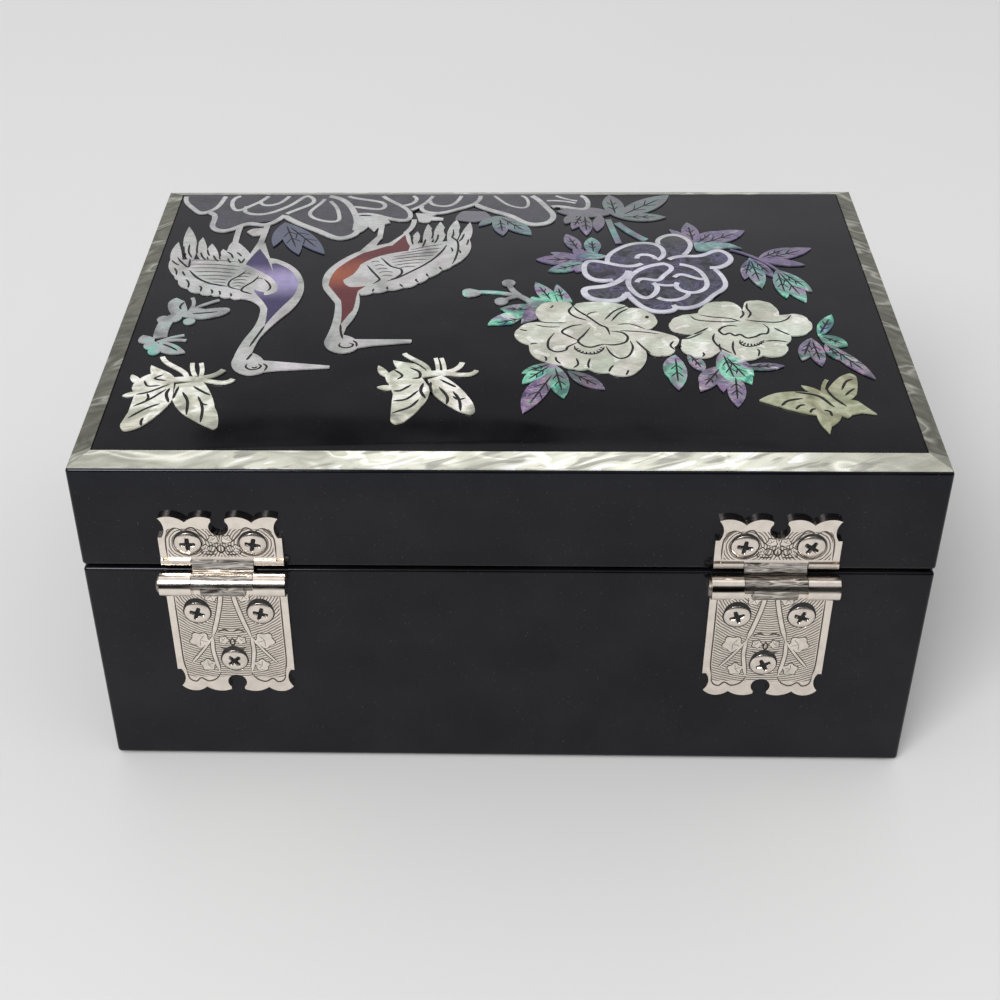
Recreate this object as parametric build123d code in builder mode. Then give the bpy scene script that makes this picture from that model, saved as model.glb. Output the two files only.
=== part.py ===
from build123d import *
from math import atan2, copysign, cos, degrees, radians, sin, sqrt, tan
import os

os.makedirs("parts", exist_ok=True)

# A black lacquered jewelry box with a shell inlaid lid, in millimetres. The origin is the
# middle of the underside, +Z is up and +Y points out of the back, where the hinges are.
# "Right" is +X, the right hand of someone who faces the front and its clasp.

# Case
box_width = 180.0
box_depth = 128.0
felt_thickness = 0.6
felt_inset = 3.0
base_wall_height = 54.9
seam_gap = 0.8
lid_wall_height = 20.2
board_side_height = 4.45
wall_thickness = 8.0
floor_thickness = 5.0
corner_round = 0.8
foot_round = 1.0
seam_round = 0.8

# Lid top: a sloping land for the shell strips round a low crowned panel
land_slope = 18.0
land_width = 4.9
strip_inset = 0.5
strip_width = 4.1
strip_thickness = 0.42
panel_lip = 0.3
crown_height = 1.6
inlay_glue_line = 0.05
inlay_thickness = 0.3

# Lining and fittings inside
lining_thickness = 1.2
lining_drop = 0.5
pad_thickness = 2.0
divider_thickness = 3.0
divider_height = 30.0
divider_top_round = 1.3
roll_count = 4
roll_width = 10.4
roll_height = 23.0
mirror_thickness = 2.0
mirror_bevel = 1.2
frame_width = 9.15
frame_overlap = 2.5
frame_pad_thickness = 1.6
frame_round = 0.8
soft_clearance = 0.3
fit_clearance = 0.15

# Stop hinges. Angles round the barrel run from +Y, straight out of the back, towards +Z.
hinge_inset = 32.0
hinge_shift = 1.65
leaf_thickness = 1.2
leaf_half_width = 13.0
barrel_half_length = 13.3
axis_drop = 1.6
axis_offset = 3.0
knuckle_radius = 2.7
pin_radius = 1.45
pin_clearance = 0.05
pin_head_radius = 2.0
pin_head_height = 0.8
centre_knuckle_half = 6.5
knuckle_gap = 0.12
tail_half_width = 4.6
ear_gap = 0.2
ear_angle = -84.0
roll_seam_turn = 46.0
roll_seam = 5.0
shoulder_angle = 20.0
tail_angle = -150.0
strap_front_angle = 115.0
strap_back_angle = 150.0
strap_setback = 0.4
barrel_clearance = 0.2
lip_rise = 1.5
lip_height = 1.2
lip_proud = 0.45
lip_gap = 0.2
relief_offset = 12.0
relief_length = 1.2
relief_height = 0.4
relief_depth = 0.5

# Ornamental leaf ends: distances in from the side edge, and heights below the crest of
# the side step, the bite, the outer tip, the cusp and the centre of the notch
end_step = 0.8
end_bite = 1.5
end_tip = 0.5
cusp_offset = 7.0
notch_radius = 2.1
notch_mouth_half = 1.5
inner_tip_drop = 0.5
upper_leaf_height = 13.8
upper_end_drops = (5.4, 3.1, 0.4, 1.4, 2.7)
lower_leaf_height = 33.9
lower_end_drops = (6.4, 3.9, 1.5, 1.2, 2.7)

# Wood screws
shank_radius = 1.3
shank_length = 6.0
screw_point = 1.4
head_radius = 2.85
head_proud = 0.9
head_rim_proud = 0.1
leaf_hole_radius = 1.6
dish_radius = 3.15
dish_depth = 0.8
pilot_clearance = 0.05
hinge_screw_offset = 6.85
upper_screw_drop = 6.9
lower_screw_rise = 22.8
end_screw_rise = 9.2

# Clasp on the front: a tongue that hangs from the lid over a stud on the base
clasp_half_width = 11.0
clasp_end_drops = (4.4, 2.8, 0.4, 1.2, 2.7)
clasp_leaf_height = 17.1
clasp_axis_rise = 3.1
clasp_axis_offset = 2.2
clasp_knuckle_radius = 1.9
clasp_knuckle_half = 9.0
clasp_pin_radius = 0.8
clasp_pin_head_radius = 0.95
clasp_pin_head_height = 0.5
clasp_screw_offset = 6.6
clasp_screw_drop = 6.8
tongue_knuckle_half = 5.0
tongue_half_width = 4.0
tongue_thickness = 1.2
tongue_drop = 11.9
eye_round_radius = 5.0
eye_radius = 2.7
thumb_radius = 1.0
thumb_half_length = 2.5
catch_top_drop = 1.3
catch_height = 21.4
catch_screw_rise = 6.4
stud_radius = 1.9
stud_proud = 3.6
stud_round = 0.7

# Heights and places that follow from the sizes above
half_width = box_width / 2
half_depth = box_depth / 2
base_top = felt_thickness + base_wall_height
lid_low = base_top + seam_gap
board_low = lid_low + lid_wall_height
rim = board_low + board_side_height
slope = tan(radians(land_slope))
panel_edge = rim + slope * land_width + panel_lip
panel_half_width = half_width - land_width
panel_half_depth = half_depth - land_width
floor_top = felt_thickness + floor_thickness
pad_top = floor_top + pad_thickness
inner_half_width = half_width - wall_thickness
inner_half_depth = half_depth - wall_thickness
lined_half_width = inner_half_width - lining_thickness
lined_half_depth = inner_half_depth - lining_thickness
mirror_half_width = lined_half_width - fit_clearance - frame_width + frame_overlap
mirror_half_depth = lined_half_depth - fit_clearance - frame_width + frame_overlap
hinge_axis_y = half_depth + axis_offset
axis_height = base_top - axis_drop
lip_low = lid_low + lip_rise
upper_leaf_crest = lid_low + upper_leaf_height
lower_leaf_crest = base_top - lower_leaf_height
clasp_leaf_crest = lid_low + clasp_leaf_height
clasp_axis_height = lid_low + clasp_axis_rise
catch_top = base_top - catch_top_drop
catch_crest = catch_top - catch_height
bore_radius = pin_radius + pin_clearance
clasp_axis_y = -(half_depth + clasp_axis_offset)
front_face = Plane(origin=(0, -half_depth, 0), x_dir=(1, 0, 0), z_dir=(0, -1, 0))

# The inward direction of each side of the case
side_inward = {"front": (0, 1), "right": (-1, 0), "back": (0, -1), "left": (1, 0)}
up = Vector(0, 0, 1)


def section_plane(side):
    """Plane across the middle of a side: x runs inwards from the side's face, y up."""
    inward = Vector(*side_inward[side], 0)
    reach = half_depth if side in ("front", "back") else half_width
    return Plane(origin=inward * -reach, x_dir=inward, z_dir=inward.cross(up))


def mitre_plane(x_sign, y_sign):
    """Upright plane through one corner of the case, facing out of its left or right side."""
    return Plane(
        origin=(x_sign * half_width, y_sign * half_depth, 0),
        x_dir=(0, 0, 1),
        z_dir=(x_sign, -y_sign, 0),
    )


def trim_to_side(side):
    """Keep only one side's stretch of the ring or bar that is being built."""
    inward_x, inward_y = side_inward[side]
    if inward_x == 0:
        for x_sign in (-1, 1):
            split(bisect_by=mitre_plane(x_sign, -inward_y), keep=Keep.BOTTOM)
    else:
        for y_sign in (-1, 1):
            split(bisect_by=mitre_plane(-inward_x, y_sign), keep=Keep.TOP)


def ring(low, high, outer_half_width, outer_half_depth, thickness):
    """Upright ring of boards from low to high."""
    with BuildSketch(Plane.XY.offset(low)) as outline:
        Rectangle(2 * outer_half_width, 2 * outer_half_depth)
        Rectangle(
            2 * (outer_half_width - thickness),
            2 * (outer_half_depth - thickness),
            mode=Mode.SUBTRACT,
        )
    extrude(outline.sketch, amount=high - low)


def outer_corner_edges():
    """The four upright edges at the outer corners of the case."""
    return edges().filter_by(Axis.Z).filter_by(
        lambda edge: abs(edge.center().X) + abs(edge.center().Y) > half_width + half_depth - 0.01
    )


def outer_edges_at(height):
    """The edges round the outside of the case at one height."""
    reach = corner_round + 0.01
    return edges().filter_by_position(Axis.Z, height - 0.01, height + 0.01).filter_by(
        lambda edge: abs(edge.center().X) > half_width - reach
        or abs(edge.center().Y) > half_depth - reach
    )


def finish(piece, name):
    """Label a finished piece and write it to its file."""
    piece.part.label = name
    export_step(piece.part, f"parts/{name}.step")


# Wood screws: their places on the faces of the case, as (x, z), and one screw along +Z
hinge_centres = {
    "right": half_width - hinge_inset + hinge_shift,
    "left": hinge_inset - half_width + hinge_shift,
}
upper_screws_z = upper_leaf_crest - upper_screw_drop
lower_screws_z = lower_leaf_crest + lower_screw_rise
clasp_screws_z = clasp_leaf_crest - clasp_screw_drop
catch_screws_z = catch_crest + catch_screw_rise
upper_screw_points = [(s * hinge_screw_offset, upper_screws_z) for s in (-1, 1)]
lower_screw_points = [(s * hinge_screw_offset, lower_screws_z) for s in (-1, 1)]
lower_screw_points.append((0, lower_leaf_crest + end_screw_rise))
clasp_screw_points = [(s * clasp_screw_offset, clasp_screws_z) for s in (-1, 1)]
catch_screw_points = [(s * clasp_screw_offset, catch_screws_z) for s in (-1, 1)]


def face_locations(y_sign, centre, points):
    """Places on the back (y_sign 1) or front (-1) face of the case, looking outwards."""
    return [
        Plane(
            origin=(centre + x, y_sign * half_depth, z), x_dir=(-y_sign, 0, 0), z_dir=(0, y_sign, 0)
        ).location
        for x, z in points
    ]


def drill_pilots(places):
    """Blind pilot holes for wood screws."""
    with Locations(*places):
        Hole(radius=shank_radius + pilot_clearance, depth=shank_length + pilot_clearance)


def drill_leaf(places):
    """Dished screw holes through a leaf that lies on the case."""
    dish_angle = 2 * degrees(atan2(dish_radius - leaf_hole_radius, dish_depth))
    lift = Location((0, 0, leaf_thickness))
    with Locations(*[place * lift for place in places]):
        CounterSinkHole(
            radius=leaf_hole_radius,
            counter_sink_radius=dish_radius,
            depth=leaf_thickness,
            counter_sink_angle=dish_angle,
        )


with BuildPart() as wood_screw:
    with BuildSketch(Plane.XZ):
        with BuildLine():
            head_seat = leaf_thickness - dish_depth
            head_rim = leaf_thickness + head_rim_proud
            head_top = leaf_thickness + head_proud
            Polyline(
                (0, head_top),
                (0, -shank_length),
                (shank_radius * 0.3, -shank_length),
                (shank_radius, -shank_length + screw_point),
                (shank_radius, head_seat),
                (head_radius, head_rim),
            )
            rise = head_top - head_rim
            dome_radius = (head_radius**2 + rise**2) / (2 * rise)
            dome_middle = head_top - dome_radius + sqrt(dome_radius**2 - (head_radius / 2) ** 2)
            ThreePointArc((head_radius, head_rim), (head_radius / 2, dome_middle), (0, head_top))
        make_face()
    revolve(axis=Axis.Z)


# Base: four mitred walls, rounded at the foot, the corners and the seam
for side in side_inward:
    with BuildPart() as base_wall:
        ring(felt_thickness, base_top, half_width, half_depth, wall_thickness)
        fillet(outer_corner_edges(), radius=corner_round)
        fillet(outer_edges_at(felt_thickness), radius=foot_round)
        fillet(outer_edges_at(base_top), radius=seam_round)
        trim_to_side(side)
        if side == "back":
            for centre in hinge_centres.values():
                drill_pilots(face_locations(1, centre, lower_screw_points))
        if side == "front":
            drill_pilots(face_locations(-1, 0, catch_screw_points))
    finish(base_wall, f"base_{side}_wall")

with BuildPart() as base_floor:
    with BuildSketch(Plane.XY.offset(felt_thickness)):
        Rectangle(2 * inner_half_width, 2 * inner_half_depth)
    extrude(amount=floor_thickness)
finish(base_floor, "base_floor_board")

with BuildPart() as felt:
    with BuildSketch():
        RectangleRounded(box_width - 2 * felt_inset, box_depth - 2 * felt_inset, corner_round)
    extrude(amount=felt_thickness)
finish(felt, "base_felt")

# Base lining: a floor pad and four covered cards that stand on it, mitred at the corners
with BuildPart() as floor_pad:
    with BuildSketch(Plane.XY.offset(floor_top)):
        Rectangle(2 * inner_half_width, 2 * inner_half_depth)
    extrude(amount=pad_thickness)
finish(floor_pad, "base_lining_floor")

for side in side_inward:
    with BuildPart() as base_lining:
        ring(pad_top, base_top - lining_drop, inner_half_width, inner_half_depth, lining_thickness)
        trim_to_side(side)
    finish(base_lining, f"base_lining_{side}")


# Dividers: a long card behind the ring rolls, and two short ones behind that
def divider(x_size, y_size, centre):
    """Covered card with a rounded top, standing on the pad."""
    with BuildSketch(Plane.XY.offset(pad_top)) as outline:
        with Locations(centre):
            Rectangle(x_size, y_size)
    extrude(outline.sketch, amount=divider_height)
    along = Axis.X if x_size > y_size else Axis.Y
    fillet(edges().filter_by(along).group_by(Axis.Z)[-1], radius=divider_top_round)


rolls_depth = roll_count * (roll_width + soft_clearance) + soft_clearance
divider_front = -lined_half_depth + rolls_depth
divider_back = divider_front + divider_thickness
bay_depth = lined_half_depth - divider_back
bay_width = (2 * lined_half_width - 2 * divider_thickness) / 3
cross_divider_x = (bay_width + divider_thickness) / 2

with BuildPart() as long_divider:
    divider(
        2 * (lined_half_width - fit_clearance),
        divider_thickness,
        (0, (divider_front + divider_back) / 2),
    )
finish(long_divider, "long_divider")

for name, x_sign in (("left", -1), ("right", 1)):
    with BuildPart() as cross_divider:
        divider(
            divider_thickness,
            bay_depth - 2 * fit_clearance,
            (x_sign * cross_divider_x, divider_back + bay_depth / 2),
        )
    finish(cross_divider, f"cross_divider_{name}")

# Ring rolls: soft rolls with round tops, side by side, that grip rings between them
with BuildPart() as ring_rolls:
    for index in range(roll_count):
        roll_y = -lined_half_depth + soft_clearance + roll_width / 2
        roll_y += index * (roll_width + soft_clearance)
        shoulder = roll_height - roll_width / 2
        with BuildSketch(Plane(origin=(0, roll_y, pad_top), x_dir=(0, 1, 0), z_dir=(1, 0, 0))):
            with BuildLine():
                Polyline(
                    (-roll_width / 2, shoulder),
                    (-roll_width / 2, 0),
                    (roll_width / 2, 0),
                    (roll_width / 2, shoulder),
                )
                ThreePointArc(
                    (roll_width / 2, shoulder), (0, roll_height), (-roll_width / 2, shoulder)
                )
            make_face()
        extrude(amount=lined_half_width - soft_clearance, both=True)
finish(ring_rolls, "ring_rolls")

# Lid walls, like the base walls
for side in side_inward:
    with BuildPart() as lid_wall:
        ring(lid_low, board_low, half_width, half_depth, wall_thickness)
        fillet(outer_corner_edges(), radius=corner_round)
        fillet(outer_edges_at(lid_low), radius=seam_round)
        trim_to_side(side)
        if side == "back":
            for centre in hinge_centres.values():
                drill_pilots(face_locations(1, centre, upper_screw_points))
        if side == "front":
            drill_pilots(face_locations(-1, 0, clasp_screw_points))
    finish(lid_wall, f"lid_{side}_wall")


# Lid top board: its sides continue the walls, and a sloping land runs round the panel
def crown(edge_height):
    """Low dome over the panel: a Bezier patch of which only the middle point is raised."""
    sides_x = (-panel_half_width, 0, panel_half_width)
    sides_y = (-panel_half_depth, 0, panel_half_depth)
    net = [
        [(x, y, edge_height + (4 * crown_height if x == 0 and y == 0 else 0)) for y in sides_y]
        for x in sides_x
    ]
    corners = [(x, y, edge_height) for x, y in ((-1, -1), (1, -1), (1, 1), (-1, 1))]
    corners = [(x * panel_half_width, y * panel_half_depth, z) for x, y, z in corners]
    return Solid(Shell([Face.make_bezier_surface(net), Face(Wire.make_polygon(corners))]))


with BuildPart() as top_board:
    with BuildSketch(Plane.XY.offset(board_low)):
        Rectangle(box_width, box_depth)
    extrude(amount=rim - board_low)
    with BuildSketch(Plane.XY.offset(rim)):
        Rectangle(box_width, box_depth)
    with BuildSketch(Plane.XY.offset(rim + slope * land_width)):
        Rectangle(2 * panel_half_width, 2 * panel_half_depth)
    loft(ruled=True)
    fillet(outer_corner_edges() + outer_edges_at(rim), radius=corner_round)
    with BuildSketch(Plane.XY.offset(rim)):
        Rectangle(2 * panel_half_width, 2 * panel_half_depth)
    extrude(amount=panel_edge - rim)
    add(crown(panel_edge))
finish(top_board, "lid_top_board")

# Shell strips on the land, one to each side, mitred at the corners
for side in side_inward:
    strip_end = strip_inset + strip_width
    with BuildPart() as strip:
        with BuildSketch(section_plane(side)):
            Polygon(
                (strip_inset, rim + slope * strip_inset),
                (strip_end, rim + slope * strip_end),
                (strip_end, rim + slope * strip_end + strip_thickness),
                (strip_inset, rim + slope * strip_inset + strip_thickness),
                align=None,
            )
        extrude(amount=half_width, both=True)
        trim_to_side(side)
    finish(strip, f"pearl_strip_{side}")

# Inside the lid: covered cards on the walls, and a mirror held by a padded frame
for side in side_inward:
    with BuildPart() as lid_lining:
        ring(lid_low + lining_drop, board_low, inner_half_width, inner_half_depth, lining_thickness)
        trim_to_side(side)
    finish(lid_lining, f"lid_lining_{side}")

with BuildPart() as mirror:
    with BuildSketch(Plane.XY.offset(board_low - mirror_thickness)):
        Rectangle(2 * mirror_half_width, 2 * mirror_half_depth)
    extrude(amount=mirror_thickness)
    chamfer(
        edges().group_by(Axis.Z)[0], length=mirror_thickness * 0.4, length2=mirror_bevel
    )
finish(mirror, "mirror")

with BuildPart() as mirror_frame:
    frame_low = board_low - mirror_thickness - frame_pad_thickness
    with BuildSketch(Plane.XY.offset(frame_low)):
        Rectangle(2 * (lined_half_width - fit_clearance), 2 * (lined_half_depth - fit_clearance))
        Rectangle(
            2 * (mirror_half_width - frame_overlap),
            2 * (mirror_half_depth - frame_overlap),
            mode=Mode.SUBTRACT,
        )
    extrude(amount=board_low - frame_low)
    with BuildSketch(Plane.XY.offset(board_low - mirror_thickness)):
        Rectangle(
            2 * (mirror_half_width + fit_clearance), 2 * (mirror_half_depth + fit_clearance)
        )
    extrude(amount=mirror_thickness, mode=Mode.SUBTRACT)
    fillet(
        edges()
        .group_by(Axis.Z)[0]
        .filter_by(
            lambda edge: abs(edge.center().X) < mirror_half_width
            and abs(edge.center().Y) < mirror_half_depth
        ),
        radius=frame_round,
    )
finish(mirror_frame, "mirror_frame")


# Stop hinges. Angles round a barrel run from +Y, straight out of the back, towards +Z.
def scalloped_end(half, crest, up_sign, heights):
    """Outline of a leaf's ornamental end, from one side edge over to the other: a small
    step, a hollow bite, a tip, two scallops with a cusp between them and a round notch."""
    side, bite, tip, cusp, notch = [crest - up_sign * drop for drop in heights]
    notch_mouth = notch + up_sign * sqrt(notch_radius**2 - notch_mouth_half**2)
    for x in (-1, 1):
        Line((x * half, side), (x * (half - end_step), side))
        ThreePointArc(
            (x * (half - end_step), side),
            (x * (half - end_bite), bite),
            (x * (half - end_tip), tip),
        )
        ThreePointArc(
            (x * (half - end_tip), tip),
            (x * (half - end_tip + cusp_offset) / 2, crest),
            (x * cusp_offset, cusp),
        )
        ThreePointArc(
            (x * cusp_offset, cusp),
            (x * (cusp_offset + notch_mouth_half) / 2, crest),
            (x * notch_mouth_half, crest - up_sign * inner_tip_drop),
        )
        Line(
            (x * notch_mouth_half, crest - up_sign * inner_tip_drop),
            (x * notch_mouth_half, notch_mouth),
        )
    ThreePointArc(
        (-notch_mouth_half, notch_mouth),
        (0, notch - up_sign * notch_radius),
        (notch_mouth_half, notch_mouth),
    )


def barrel_point(radius, angle):
    """Point of a barrel's section at a radius and an angle."""
    return (radius * cos(radians(angle)), radius * sin(radians(angle)))


def sector(barrel, inner, outer, start, end, low, high, mode=Mode.ADD):
    """Ring sector round a barrel between two angles and two places along the pin."""
    with BuildSketch(barrel.offset(low)) as section:
        with BuildLine():
            CenterArc((0, 0), outer, start, end - start)
            CenterArc((0, 0), inner, start, end - start)
            for angle in (start, end):
                Line(barrel_point(inner, angle), barrel_point(outer, angle))
        make_face()
    extrude(section.sketch, amount=high - low, mode=mode)


def rolled(barrel, start, end, low, high):
    """Stretch of a rolled knuckle."""
    sector(barrel, bore_radius, knuckle_radius, start, end, low, high)


def shave(barrel, start, end, low, high):
    """Cut a stretch of a rolled knuckle away between two angles."""
    reach = barrel_clearance / 2
    sector(
        barrel, bore_radius - reach, knuckle_radius + reach, start, end, low, high, Mode.SUBTRACT
    )


slot_half = tail_half_width + ear_gap
knuckle_start = centre_knuckle_half + knuckle_gap
slot_low = axis_height - knuckle_radius - barrel_clearance
leaf_back = -axis_offset
leaf_front = leaf_back + leaf_thickness
fold = lip_low + lip_height - axis_height

for name, centre in hinge_centres.items():
    leaf_plane = Plane(origin=(centre, half_depth, 0), x_dir=(-1, 0, 0), z_dir=(0, 1, 0))
    barrel = Plane(origin=(centre, hinge_axis_y, axis_height), x_dir=(0, 1, 0), z_dir=(1, 0, 0))

    # Lower leaf: two outer knuckles, and between them the ears that stop the lid
    with BuildPart() as lower_leaf:
        with BuildSketch(leaf_plane):
            with BuildLine():
                scalloped_end(leaf_half_width, lower_leaf_crest, -1, lower_end_drops)
                side_low = lower_leaf_crest + lower_end_drops[0]
                Polyline(
                    (-leaf_half_width, side_low),
                    (-leaf_half_width, axis_height),
                    (leaf_half_width, axis_height),
                    (leaf_half_width, side_low),
                )
            make_face()
            with Locations((0, slot_low)):
                Rectangle(
                    2 * slot_half,
                    axis_height - slot_low,
                    align=(Align.CENTER, Align.MIN),
                    mode=Mode.SUBTRACT,
                )
        extrude(amount=leaf_thickness)
        roll_end = ear_angle - roll_seam_turn
        for low, high in ((-barrel_half_length, -slot_half), (slot_half, barrel_half_length)):
            rolled(barrel, roll_end, roll_end + 360 - roll_seam, low, high)
        for low, high in ((-knuckle_start, -slot_half), (slot_half, knuckle_start)):
            shave(barrel, ear_angle, 180, low, high)
        drill_leaf(face_locations(1, centre, lower_screw_points))
    finish(lower_leaf, f"hinge_{name}_lower_leaf")

    # Upper leaf: a strap from the folded lip to the centre knuckle, whose shoulders meet
    # the ears of the lower leaf when the lid is open
    with BuildPart() as upper_leaf:
        with BuildSketch(leaf_plane):
            with BuildLine():
                scalloped_end(leaf_half_width, upper_leaf_crest, 1, upper_end_drops)
                side_high = upper_leaf_crest - upper_end_drops[0]
                Polyline(
                    (-leaf_half_width, side_high),
                    (-leaf_half_width, lip_low),
                    (leaf_half_width, lip_low),
                    (leaf_half_width, side_high),
                )
            make_face()
        extrude(amount=leaf_thickness)
        with BuildSketch(leaf_plane):
            for x in (-1, 1):
                lip_inner = centre_knuckle_half + lip_gap
                with Locations((x * (lip_inner + leaf_half_width) / 2, lip_low + lip_height / 2)):
                    Rectangle(leaf_half_width - lip_inner, lip_height)
        extrude(amount=leaf_thickness + lip_proud)
        with BuildSketch(leaf_plane.offset(leaf_thickness)):
            for x in (-1, 1):
                with Locations((x * relief_offset, lip_low + lip_height + relief_height / 2)):
                    Rectangle(relief_length, relief_height)
        extrude(amount=-relief_depth, mode=Mode.SUBTRACT)
        with BuildSketch(barrel.offset(-centre_knuckle_half)):
            Polygon(
                (leaf_back, fold + lip_height),
                (leaf_front, fold + lip_height),
                (leaf_front, fold),
                barrel_point(knuckle_radius, strap_front_angle),
                barrel_point(bore_radius + pin_clearance, strap_front_angle),
                barrel_point(bore_radius + pin_clearance, strap_back_angle),
                barrel_point(knuckle_radius, strap_back_angle),
                (leaf_back, fold - strap_setback),
                align=None,
            )
        extrude(amount=2 * centre_knuckle_half)
        rolled(barrel, tail_angle, strap_back_angle, -centre_knuckle_half, centre_knuckle_half)
        for low, high in (
            (-centre_knuckle_half, -tail_half_width),
            (tail_half_width, centre_knuckle_half),
        ):
            shave(barrel, tail_angle - roll_seam, shoulder_angle, low, high)
        drill_leaf(face_locations(1, centre, upper_screw_points))
    finish(upper_leaf, f"hinge_{name}_upper_leaf")

    # Pin: a plain rod with one round head at the right-hand end
    with BuildPart() as pin:
        with BuildSketch(barrel.offset(-barrel_half_length)):
            Circle(pin_radius)
        extrude(amount=2 * barrel_half_length)
        with BuildSketch(barrel.offset(barrel_half_length)):
            Circle(pin_head_radius)
        extrude(amount=pin_head_height)
        fillet(edges().group_by(Axis.X)[-1], radius=pin_head_height * 0.6)
    finish(pin, f"hinge_{name}_pin")

    for leaf, points in (("lower", lower_screw_points), ("upper", upper_screw_points)):
        with BuildPart() as screws:
            with Locations(*face_locations(1, centre, points)):
                add(wood_screw.part)
        finish(screws, f"hinge_{name}_{leaf}_screws")

# Clasp plate on the lid: scalloped above, with two knuckles for the tongue's pin
clasp_barrel = Plane(
    origin=(0, clasp_axis_y, clasp_axis_height), x_dir=(0, -1, 0), z_dir=(-1, 0, 0)
)
clasp_bore = clasp_pin_radius + pin_clearance
clasp_knuckle_start = tongue_knuckle_half + knuckle_gap

with BuildPart() as clasp_plate:
    with BuildSketch(front_face):
        with BuildLine():
            scalloped_end(clasp_half_width, clasp_leaf_crest, 1, clasp_end_drops)
            side_high = clasp_leaf_crest - clasp_end_drops[0]
            Polyline(
                (-clasp_half_width, side_high),
                (-clasp_half_width, clasp_axis_height),
                (clasp_half_width, clasp_axis_height),
                (clasp_half_width, side_high),
            )
        make_face()
        with Locations((0, clasp_axis_height)):
            Rectangle(
                2 * clasp_knuckle_start,
                clasp_knuckle_radius + barrel_clearance,
                align=(Align.CENTER, Align.MIN),
                mode=Mode.SUBTRACT,
            )
    extrude(amount=leaf_thickness)
    for low, high in (
        (-clasp_knuckle_half, -clasp_knuckle_start),
        (clasp_knuckle_start, clasp_knuckle_half),
    ):
        with BuildSketch(clasp_barrel.offset(low)):
            Circle(clasp_knuckle_radius)
        extrude(amount=high - low)
    with BuildSketch(clasp_barrel.offset(-clasp_knuckle_half)):
        Circle(clasp_bore)
    extrude(amount=2 * clasp_knuckle_half, mode=Mode.SUBTRACT)
    drill_leaf(face_locations(-1, 0, clasp_screw_points))
finish(clasp_plate, "clasp_lid_plate")

with BuildPart() as clasp_pin:
    with BuildSketch(clasp_barrel.offset(-clasp_knuckle_half)):
        Circle(clasp_pin_radius)
    extrude(amount=2 * clasp_knuckle_half)
    for end, length in ((clasp_knuckle_half, 1), (-clasp_knuckle_half, -1)):
        with BuildSketch(clasp_barrel.offset(end)):
            Circle(clasp_pin_head_radius)
        extrude(amount=length * clasp_pin_head_height)
finish(clasp_pin, "clasp_pin")

# Tongue: hangs from the pin, and its round eye drops over the stud
eye_height = clasp_axis_height - tongue_drop
with BuildPart() as tongue:
    with BuildSketch(clasp_barrel.offset(-tongue_knuckle_half)):
        Circle(clasp_knuckle_radius)
    extrude(amount=2 * tongue_knuckle_half)
    tongue_back = Plane(
        origin=(0, clasp_axis_y + tongue_thickness / 2, 0), x_dir=(1, 0, 0), z_dir=(0, -1, 0)
    )
    with BuildSketch(tongue_back):
        with Locations((0, eye_height)):
            Circle(eye_round_radius)
            Rectangle(2 * tongue_half_width, tongue_drop, align=(Align.CENTER, Align.MIN))
    extrude(amount=tongue_thickness)
    with BuildSketch(clasp_barrel.offset(-thumb_half_length)):
        with Locations((tongue_thickness / 2, -tongue_drop - eye_round_radius + thumb_radius / 2)):
            Circle(thumb_radius)
    extrude(amount=2 * thumb_half_length)
    with BuildSketch(tongue_back.offset(-tongue_thickness)):
        with Locations((0, eye_height)):
            Circle(eye_radius)
    extrude(amount=3 * tongue_thickness, mode=Mode.SUBTRACT)
    with BuildSketch(clasp_barrel.offset(-tongue_knuckle_half)):
        Circle(clasp_bore)
    extrude(amount=2 * tongue_knuckle_half, mode=Mode.SUBTRACT)
finish(tongue, "clasp_tongue")

# Catch plate on the base, with the stud that the eye drops over
with BuildPart() as catch_plate:
    with BuildSketch(front_face):
        with BuildLine():
            scalloped_end(clasp_half_width, catch_crest, -1, clasp_end_drops)
            side_low = catch_crest + clasp_end_drops[0]
            Polyline(
                (-clasp_half_width, side_low),
                (-clasp_half_width, catch_top),
                (clasp_half_width, catch_top),
                (clasp_half_width, side_low),
            )
        make_face()
    extrude(amount=leaf_thickness)
    with BuildSketch(front_face):
        with Locations((0, eye_height)):
            Circle(stud_radius)
    extrude(amount=leaf_thickness + stud_proud)
    fillet(edges().group_by(Axis.Y)[0], radius=stud_round)
    drill_leaf(face_locations(-1, 0, catch_screw_points))
finish(catch_plate, "clasp_catch_plate")

for name, points in (("lid", clasp_screw_points), ("catch", catch_screw_points)):
    with BuildPart() as screws:
        with Locations(*face_locations(-1, 0, points)):
            add(wood_screw.part)
    finish(screws, f"clasp_{name}_screws")

# Shell inlay on the lid. Its pieces are drawn in plan on a panel of drawn_half_width by
# drawn_half_depth, in millimetres from the middle, and cut from a thin shell layer that
# follows the crown. The picture keeps its proportions when the box changes size.
drawn_half_width = 85.1
drawn_half_depth = 59.1
picture_scale = min(panel_half_width / drawn_half_width, panel_half_depth / drawn_half_depth)
inlay_low = panel_edge - panel_lip


def layer_body(lift):
    """Everything over the panel below the crown raised by lift."""
    with BuildPart() as body:
        with BuildSketch(Plane.XY.offset(inlay_low - 1 + lift)):
            Rectangle(2 * panel_half_width, 2 * panel_half_depth)
        extrude(amount=panel_edge - inlay_low + 1)
        add(crown(panel_edge + lift))
    return body.part


with BuildPart() as shell_layer:
    add(layer_body(inlay_glue_line + inlay_thickness))
    with BuildSketch(Plane.XY.offset(panel_edge - 2 * crown_height)):
        Rectangle(2 * panel_half_width, 2 * panel_half_depth)
    extrude(amount=crown_height, mode=Mode.SUBTRACT)
    add(layer_body(inlay_glue_line), mode=Mode.SUBTRACT)


def drawn(*point):
    """A point of the picture on the panel."""
    return Vector(*point) * picture_scale


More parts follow.
